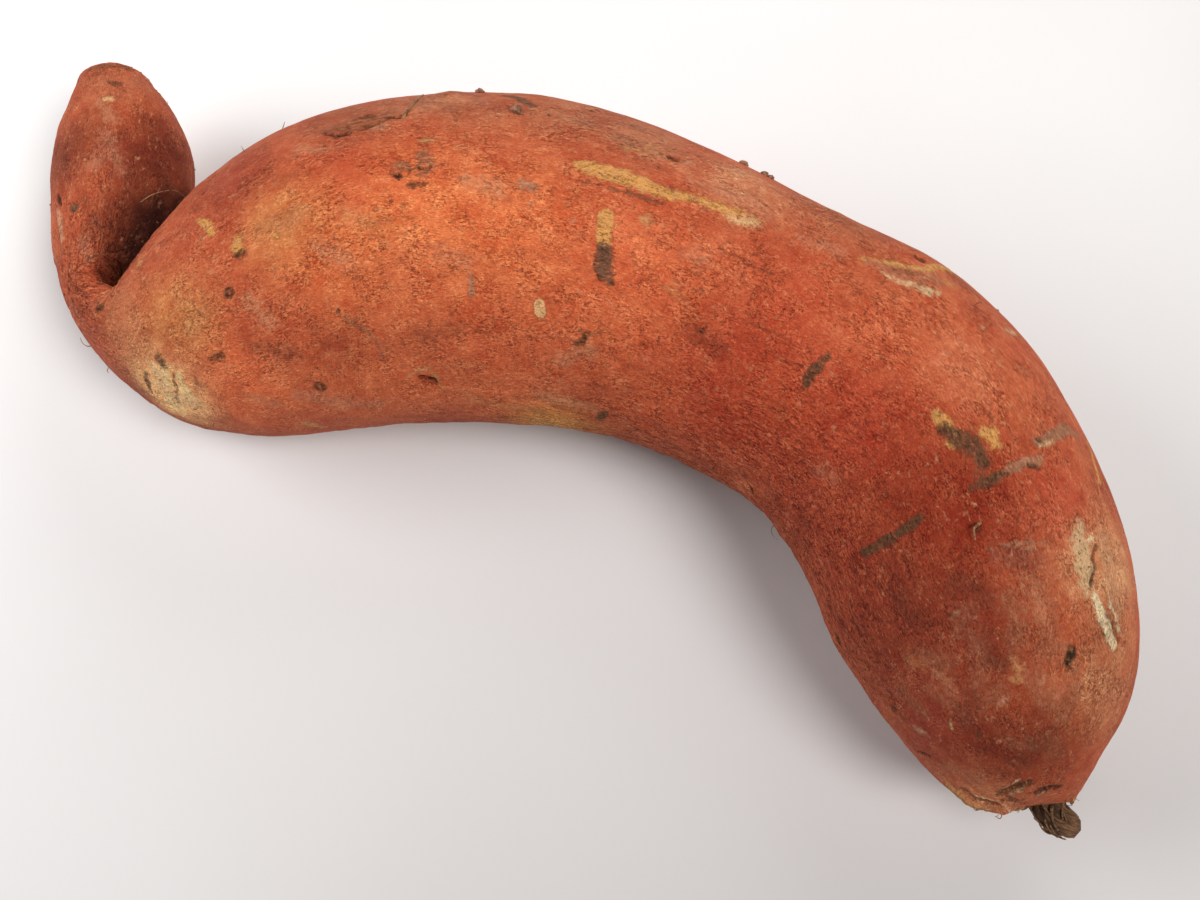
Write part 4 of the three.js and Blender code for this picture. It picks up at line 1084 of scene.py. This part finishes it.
def skin_material():
    n = Nodes("sweet_potato_skin")
    grain = n.attribute("grain").outputs["Vector"]
    wrinkled = n.attribute("wrinkled").outputs["Fac"]
    broad = n.noise(grain, 0.11, 3, 0.6)
    blotch = n.noise(grain, 0.42, 4, 0.65)
    scuff = n.noise(n.scaled(grain, (0.55, 0.8, 0.8)), 1.0, 5, 0.72)
    rough = n.noise(grain, 0.21, 4, 0.7)
    mottle = n.noise(grain, 1.3, 3, 0.65)
    strand = n.noise(n.scaled(grain, (0.75, 1.9, 1.9)), 1.0, 3, 0.6, 0.5)
    fleck = n.noise(n.scaled(grain, (1.5, 4.4, 4.4)), 1.0, 2, 0.55)
    speck = n.noise(n.scaled(grain, (3.1, 4.0, 4.0)), 1.0, 1, 0.5)
    fine = n.noise(grain, 7.0, 2, 0.7)

    # the tone of the skin goes up and down at several scales, more in some places
    amount = n.ramp(rough, 0.36, 0.64, 0.55, 1.5)
    tone = n.total([(mottle, 0.7), (speck, 1.2), (fleck, 1.1)])
    tone = n.math("MULTIPLY", n.math("SUBTRACT", tone, 1.5), amount)
    tone = n.math("MULTIPLY_ADD", blotch, 1.5, tone)
    tone = n.math("MULTIPLY_ADD", broad, 1.0, tone)
    tone = n.math("SUBTRACT", tone, 0.75, clamp=True)
    colour = n.attribute("base").outputs["Color"]
    deep = n.tinted(colour, DEEPENED)
    bright = n.tinted(colour, BRIGHTENED)
    colour = n.mix(tone, deep, bright)
    colour = n.mix(n.ramp(scuff, 0.56, 0.7, 0, 0.5), colour, PALE_TAN)
    pale = n.tinted(colour, PALED)
    colour = n.mix(n.ramp(fleck, 0.6, 0.74, 0, 0.7), colour, pale)
    # a thin dusty or brown veil in long patches
    veil = n.noise(n.scaled(grain, (0.13, 0.3, 0.3)), 1.0, 5, 0.74)
    dusty = n.tinted(colour, DUSTED)
    colour = n.mix(n.ramp(veil, 0.53, 0.68, 0, 0.65), colour, dusty)
    browned = n.tinted(colour, BROWNED)
    colour = n.mix(n.ramp(veil, 0.48, 0.34, 0, 0.6), colour, browned)
    # fine furrows: where the noise crosses its middle, in some places more than others
    crossing = n.math("ABSOLUTE", n.math("SUBTRACT", strand, 0.5))
    furrow = n.ramp(crossing, 0.04, 0.008)
    share = n.ramp(rough, 0.44, 0.62, 0.05, 0.7)
    share = n.math("MULTIPLY_ADD", wrinkled, 0.6, share, clamp=True)
    share = n.math("MULTIPLY", share, n.ramp(mottle, 0.6, 0.47, 0.15))
    furrow = n.math("MULTIPLY", furrow, share)
    furrowed = n.tinted(colour, FURROWED)
    colour = n.mix(furrow, colour, furrowed)
    # longer creases where the skin is wrinkled
    crease = n.noise(n.scaled(grain, (0.2, 0.95, 0.95)), 1.0, 3, 0.6, 0.3)
    crease = n.ramp(n.math("ABSOLUTE", n.math("SUBTRACT", crease, 0.5)), 0.035, 0.006)
    crease = n.math("MULTIPLY", crease, n.ramp(wrinkled, 0.15, 0.7, 0.0, 0.85))
    crease = n.math("MULTIPLY", crease, n.ramp(blotch, 0.42, 0.55, 0.25, 1.0))
    creased = n.tinted(colour, CREASED)
    colour = n.mix(crease, colour, creased)

    height = n.total(
        [(mottle, 0.6), (speck, 0.55), (fleck, 0.6), (fine, 0.25), (furrow, -0.8), (crease, -1.1)]
    )
    roughness = n.ramp(mottle, 0.3, 0.7, 0.62, 0.78)

    # the marks, their edges broken up by noise
    tatter = n.noise(grain, 0.95, 4, 0.7)
    tatter = n.math("MULTIPLY", n.math("SUBTRACT", tatter, 0.5), 4.6)
    scar = n.noise(n.scaled(grain, (1.0, 2.2, 2.2)), 1.0, 4, 0.7)
    for layer in (A, B):
        light, dark, pitted, rim_share = (
            (CREAM, BROWN, BROWN, 0.12) if layer == A else (GREYTAN, DARK, UMBER, 0.35)
        )
        depth = n.attribute(f"depth_{layer}").outputs["Fac"]
        paint = n.attribute(f"colour_{layer}")
        rag = paint.outputs["Alpha"]
        edge = n.math("MULTIPLY_ADD", tatter, rag, depth)
        soft = n.math("MULTIPLY_ADD", rag, 0.7, 0.08)
        mask = n.ramp(edge, n.math("MULTIPLY", soft, -1), soft)
        worn = n.ramp(scar, 0.66, 0.5, 0.45, 1.0)
        mask = n.math("MULTIPLY", mask, worn)
        mask = n.math("MULTIPLY", mask, n.ramp(rag, 0.9, 1.5, 1.0, 0.4))
        inside = n.mix(n.ramp(scar, 0.5, 0.68, 0, 0.5), paint.outputs["Color"], light)
        inside = n.mix(n.ramp(scar, 0.5, 0.34, 0, 0.65), inside, dark)
        inside = n.mix(n.ramp(mottle, 0.44, 0.3, 0, 0.75), inside, pitted)
        inside = n.mix(n.ramp(fleck, 0.44, 0.34, 0, 0.5), inside, pitted)
        rim = n.ramp(n.math("ABSOLUTE", edge), 0.36, 0.05, 0, rim_share)
        rim = n.math("MULTIPLY", rim, n.ramp(rag, 0.5, 1.2, 1.0, 0.1))
        colour = n.mix(rim, colour, UMBER)
        colour = n.mix(mask, colour, inside)
        roughness = n.math("MULTIPLY_ADD", mask, 0.12, roughness)
        height = n.math("MULTIPLY_ADD", n.math("MULTIPLY", mask, scar), 0.7, height)
    normal = n.bump(height, RELIEF)
    return n.finish(colour, roughness, normal, Specular_IOR_Level=0.16)


def stalk_material():
    n = Nodes("dry_stalk")
    grain = n.attribute("grain").outputs["Vector"]
    fibre = n.noise(n.scaled(grain, (0.5, 3.4, 3.4)), 1.0, 4, 0.65)
    spots = n.noise(grain, 1.3, 3, 0.6)
    colour = n.mix(n.ramp(fibre, 0.32, 0.6), (0.022, 0.009, 0.004), (0.1, 0.047, 0.022))
    colour = n.mix(n.ramp(fibre, 0.56, 0.74, 0, 0.85), colour, (0.32, 0.18, 0.09))
    colour = n.mix(n.ramp(spots, 0.5, 0.7, 0, 0.45), colour, (0.17, 0.09, 0.05))
    colour = n.mix(n.ramp(spots, 0.44, 0.3, 0, 0.6), colour, (0.014, 0.006, 0.003))
    along = n.add("SeparateXYZ")
    n.tree.links.new(grain, along.inputs[0])
    towards_end = n.ramp(along.outputs["X"], 5.2, 8.2)
    worn = n.math("MULTIPLY", towards_end, n.ramp(fibre, 0.4, 0.62, 0.25, 0.85))
    colour = n.mix(worn, colour, (0.33, 0.17, 0.085))
    height = n.math("MULTIPLY_ADD", spots, 0.4, fibre)
    normal = n.bump(height, RELIEF, 0.9)
    roughness = n.ramp(fibre, 0.3, 0.7, 0.75, 0.95)
    return n.finish(colour, roughness, normal, Specular_IOR_Level=0.25)


def lump_material(name, dark, light, scale, roughness):
    n = Nodes(name)
    place = n.add("TexCoord").outputs["Object"]
    spots = n.noise(place, scale, 3, 0.6)
    fine = n.noise(place, scale * 4, 2, 0.6)
    colour = n.mix(n.ramp(spots, 0.35, 0.65), dark, light)
    colour = n.mix(n.ramp(fine, 0.45, 0.3, 0, 0.6), colour, dark)
    normal = n.bump(fine, 0.0002, 0.8)
    roughness = n.ramp(spots, 0.3, 0.7, roughness, roughness + 0.15)
    return n.finish(colour, roughness, normal, Specular_IOR_Level=0.25)


# ---------------------------------------------------------------- the other pieces


def mesh_from(name, parts):
    """One mesh from several (points in mm, faces) parts."""
    points, faces = [], []
    for p, f in parts:
        faces += [[i + len(points) for i in face] for face in f]
        points += [tuple(q) for q in p]
    mesh = bpy.data.meshes.new(name)
    mesh.from_pydata([tuple(c * MM for c in q) for q in points], [], faces)
    mesh.validate()
    return mesh


def rings_round(path, radii, sides, shape=None, turn=0.0):
    """Points and faces of a closed tube along a path, its ends closed with a middle point."""
    path = np.array(path, float)
    along = np.gradient(path, axis=0)
    along /= np.linalg.norm(along, axis=1)[:, None]
    wide = np.cross(along[0], (0.31, 0.17, 0.94))
    points = []
    for k, (p, a) in enumerate(zip(path, along)):
        wide = wide - (wide @ a) * a
        wide /= np.linalg.norm(wide)
        high = np.cross(a, wide)
        for j in range(sides):
            angle = math.tau * j / sides + turn
            r = radii[k] * (shape[k][j] if shape is not None else 1)
            points.append(p + r * (math.cos(angle) * wide + math.sin(angle) * high))
    faces = []
    for k in range(len(path) - 1):
        for j in range(sides):
            i, n = k * sides, (j + 1) % sides
            faces.append((i + j, i + n, i + sides + n, i + sides + j))
    points += [path[0] - 0.1 * radii[0] * along[0], path[-1] + 0.5 * radii[-1] * along[-1]]
    end = (len(path) - 1) * sides
    for j in range(sides):
        n = (j + 1) % sides
        faces.append((len(points) - 2, n, j))
        faces.append((len(points) - 1, end + j, end + n))
    return points, faces


def make_stub():
    """The stub: a rough core with deep lengthwise fibres, and loose fibres round it."""
    rng = random.Random(FIBRE_SEED)
    path = curve_through(STUB_PATH, 14)
    count, sides = len(path), 72
    t = np.linspace(0, 1, count)
    angle = np.arange(sides) * math.tau / sides
    length = lengths_along(path[:, :3])
    twist = angle[None] + 0.5 * t[:, None]
    place = np.stack(
        [
            np.repeat(length[:, None], sides, 1),
            3 * np.cos(twist),
            3 * np.sin(twist),
        ],
        2,
    ).reshape(-1, 3)
    fibre = layered_noise(place / (5.5, 0.75, 0.75), 31, 2).reshape(count, sides)
    lump = noise(place / 2.6, 33).reshape(count, sides)
    crumple = noise(place / 0.9, 35).reshape(count, sides)
    shape = 0.9 + 0.2 * fibre + 0.16 * lump + 0.06 * crumple
    hollow = ((t[:, None] - 0.42) / 0.13) ** 2 + ((np.cos(twist - 1.1) - 1) / 0.25) ** 2
    shape -= 0.4 * np.exp(-hollow)
    parts = [rings_round(path[:, :3], path[:, 3], sides, shape)]
    grain = [place, np.zeros((2, 3))]
    for _ in range(FIBRE_COUNT):
        start = rng.uniform(0.05, 0.55)
        stop = start + rng.uniform(0.25, 0.42)
        spread = rng.uniform(0.86, 1.08)
        a = rng.uniform(0, math.tau)
        rows = np.linspace(start * (count - 1), min(stop, 1) * (count - 1), 9).astype(int)
        centre = path[rows, :3]
        tangent = np.gradient(centre, axis=0)
        tangent /= np.linalg.norm(tangent, axis=1)[:, None]
        wide = np.cross(tangent, (0.31, 0.17, 0.94))
        wide /= np.linalg.norm(wide, axis=1)[:, None]
        high = np.cross(tangent, wide)
        lift = np.linspace(spread * 0.92, spread + rng.uniform(-0.05, 0.12), 9)[:, None]
        bend = a + np.linspace(0, rng.uniform(-0.5, 0.9), 9)[:, None]
        line = centre + path[rows, 3:4] * lift * (np.cos(bend) * wide + np.sin(bend) * high)
        radii = np.linspace(1, 0.45, 9) * rng.uniform(0.16, 0.34)
        p, f = rings_round(line, radii, 7)
        parts.append((p, f))
        grain.append(np.array(p) + rng.uniform(0, 9))
    o = object_from(mesh_from("stub", parts), "stalk_stub_fibres")
    store(o.data, "grain", "FLOAT_VECTOR", np.vstack(grain))
    return o


def make_rootlets(skin):
    rng = random.Random(ROOTLET_SEED)
    tree = BVHTree.FromObject(skin, bpy.context.evaluated_depsgraph_get())
    parts = []
    for _, radius, points in ROOTLETS:
        line = []
        for x, y, z, lift in points:
            at, normal, _, _ = tree.find_nearest(Vector((x, y, z)) * MM)
            line.append(at / MM + normal * (lift + 0.05))
        path = curve_through([tuple(p) for p in line], 6)
        radii = np.linspace(radius, radius * 0.45, len(path))
        parts.append(rings_round(path, radii, 7))
    # short stubs and hairs all over, more near marks, where the mesh has more vertices
    co, no = coordinates(skin.data), normals(skin.data)
    for _ in range(ROOTLET_COUNT):
        at = rng.randrange(len(co))
        if co[at][2] < 3:
            continue
        n, run = Vector(no[at]), Vector((rng.gauss(0, 1), rng.gauss(0, 1), rng.gauss(0, 1)))
        run = (run - run.dot(n) * n).normalized()
        size = rng.choice((0.5, 0.7, 0.9, 1.6, 2.6))
        radius = rng.uniform(0.06, 0.12)
        p = Vector(co[at])
        path = [
            p - n * 0.1,
            p + n * 0.3 * size + run * 0.15 * size,
            p + n * 0.45 * size + run * 0.55 * size,
            p + n * 0.35 * size + run * size,
        ]
        path = curve_through([tuple(q) for q in path], 4)
        parts.append(rings_round(path, np.linspace(radius, radius * 0.4, len(path)), 6))
    return object_from(mesh_from("rootlets", parts), "broken_rootlets")


def make_soil(skin):
    """Crumbs of dry soil, some where they are large enough to see and many small ones."""
    rng = random.Random(SOIL_SEED)
    tree = BVHTree.FromObject(skin, bpy.context.evaluated_depsgraph_get())
    spots = [(Vector(s[:3]), s[3]) for s in SOIL]
    co, no = coordinates(skin.data), normals(skin.data)
    for _ in range(SOIL_COUNT):
        at = rng.randrange(len(co))
        if co[at][2] > 4:
            spots.append((Vector(co[at]), rng.uniform(0.12, 0.3)))
    parts = []
    for k, (place, radius) in enumerate(spots):
        at, normal, _, _ = tree.find_nearest(place * MM)
        bm = bmesh.new()
        bmesh.ops.create_icosphere(bm, subdivisions=3 if radius > 0.5 else 2, radius=1)
        p = np.array([v.co for v in bm.verts])
        shape = 1 + 0.45 * noise(p * 1.3 + k * 7.7, 41) + 0.2 * noise(p * 3.1 + k, 43)
        p = p * shape[:, None] * radius * np.array((1.0, 0.85, 0.7))
        spin = normal.to_track_quat("Z", "Y").to_matrix()
        p = p @ np.array(spin).T + np.array(at / MM + normal * radius * 0.25)
        parts.append((p, [[v.index for v in f.verts] for f in bm.faces]))
        bm.free()
    return object_from(mesh_from("soil", parts), "soil_crumbs")


def make_floor():
    mesh = bpy.data.meshes.new("floor")
    corners = [(-1, -1), (1, -1), (1, 1), (-1, 1)]
    mesh.from_pydata(
        [(x * FLOOR_HALF, y * FLOOR_HALF, FLOOR_LEVEL) for x, y in corners], [], [(0, 1, 2, 3)]
    )
    o = object_from(mesh, "floor")
    n = Nodes("white_paper_with_painted_shadow")
    place = n.add("TexCoord").outputs["Object"]
    cloud = n.noise(place, 9, 2, 0.5)
    colour = n.mix(n.ramp(cloud, 0.3, 0.7), *FLOOR_PALE)
    # a painted shadow: a soft darker patch on the floor, not cast by anything
    gap = n.add("VectorMath", operation="DISTANCE")
    n.tree.links.new(place, gap.inputs[0])
    gap.inputs[1].default_value = FLOOR_SHADOW_AT
    shade = n.ramp(n.math("MULTIPLY", gap.outputs["Value"], 5.5), 1.0, 0.0, 0.0, 0.5)
    colour = n.mix(shade, colour, FLOOR_SHADOW)
    fine = n.noise(place, 900, 2, 0.5)
    roughness, normal = n.ramp(cloud, 0.3, 0.7, 0.7, 0.8), n.bump(fine, 0.00005, 0.2)
    mesh.materials.append(n.finish(colour, roughness, normal, Specular_IOR_Level=0.2))
    return o


def add_light(name, place, aim, size, power, colour):
    data = bpy.data.lights.new(name, "AREA")
    data.shape = "DISK"
    data.size = size
    data.energy = power
    data.color = colour
    o = bpy.data.objects.new(name, data)
    bpy.context.scene.collection.objects.link(o)
    o.location = place
    o.rotation_euler = (Vector(aim) - Vector(place)).to_track_quat("-Z", "Y").to_euler()


def add_camera():
    data = bpy.data.cameras.new("camera")
    data.lens = CAMERA_LENS
    data.sensor_width = CAMERA_SENSOR
    data.clip_start = 0.005
    o = bpy.data.objects.new("camera", data)
    bpy.context.scene.collection.objects.link(o)
    e = math.radians(CAMERA_ELEVATION)
    back = Vector((0, -math.cos(e), math.sin(e)))
    o.location = (Vector(CAMERA_TARGET) + back * CAMERA_DISTANCE) * MM
    o.rotation_euler = (-back).to_track_quat("-Z", "Y").to_euler()
    bpy.context.scene.camera = o


def add_surroundings():
    scene = bpy.context.scene
    scene.view_settings.view_transform = "Standard"
    world = bpy.data.worlds.new("studio")
    world.use_nodes = True
    world.node_tree.nodes["Background"].inputs[0].default_value = WORLD_COLOUR
    world.node_tree.nodes["Background"].inputs[1].default_value = WORLD_STRENGTH
    scene.world = world
    window = bpy.data.lights.new("window", "SPOT")
    window.shadow_soft_size = WINDOW_RADIUS
    window.spot_size = math.radians(WINDOW_CONE)
    window.spot_blend = 1.0
    window.energy = WINDOW_POWER
    window.color = WINDOW_COLOUR
    o = bpy.data.objects.new("window", window)
    scene.collection.objects.link(o)
    turn, height = math.radians(WINDOW_TURN), math.radians(WINDOW_HEIGHT)
    o.location = WINDOW_DISTANCE * Vector(
        (
            math.sin(turn) * math.cos(height),
            -math.cos(turn) * math.cos(height),
            math.sin(height),
        )
    )
    aim = Vector(WINDOW_AIM) - o.location
    o.rotation_euler = aim.to_track_quat("-Z", "Y").to_euler()
    add_light("left", (-0.45, 0.05, 0.34), (0, 0.02, 0), 0.4, 1.9, (0.98, 0.99, 1.0))
    add_light("back", (0.2, 0.45, 0.4), (0, 0.02, 0), 0.4, 1.3, (1.0, 0.99, 0.98))


add_camera()
add_surroundings()
skin = make_skin()
skin.data.materials.clear()
skin.data.materials.append(skin_material())
stub = make_stub()
stub.data.materials.append(stalk_material())
rootlets = make_rootlets(skin)
rootlets.data.materials.append(
    lump_material("rootlet_fibre", (0.1, 0.04, 0.018), (0.42, 0.23, 0.11), 900, 0.7)
)
soil = make_soil(skin)
soil.data.materials.append(
    lump_material("dry_soil", (0.13, 0.055, 0.032), (0.42, 0.19, 0.11), 1400, 0.8)
)
make_floor()

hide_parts("storage_root")
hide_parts("stalk_stub")
for piece in (skin, stub, rootlets, soil):
    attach(piece, "root")
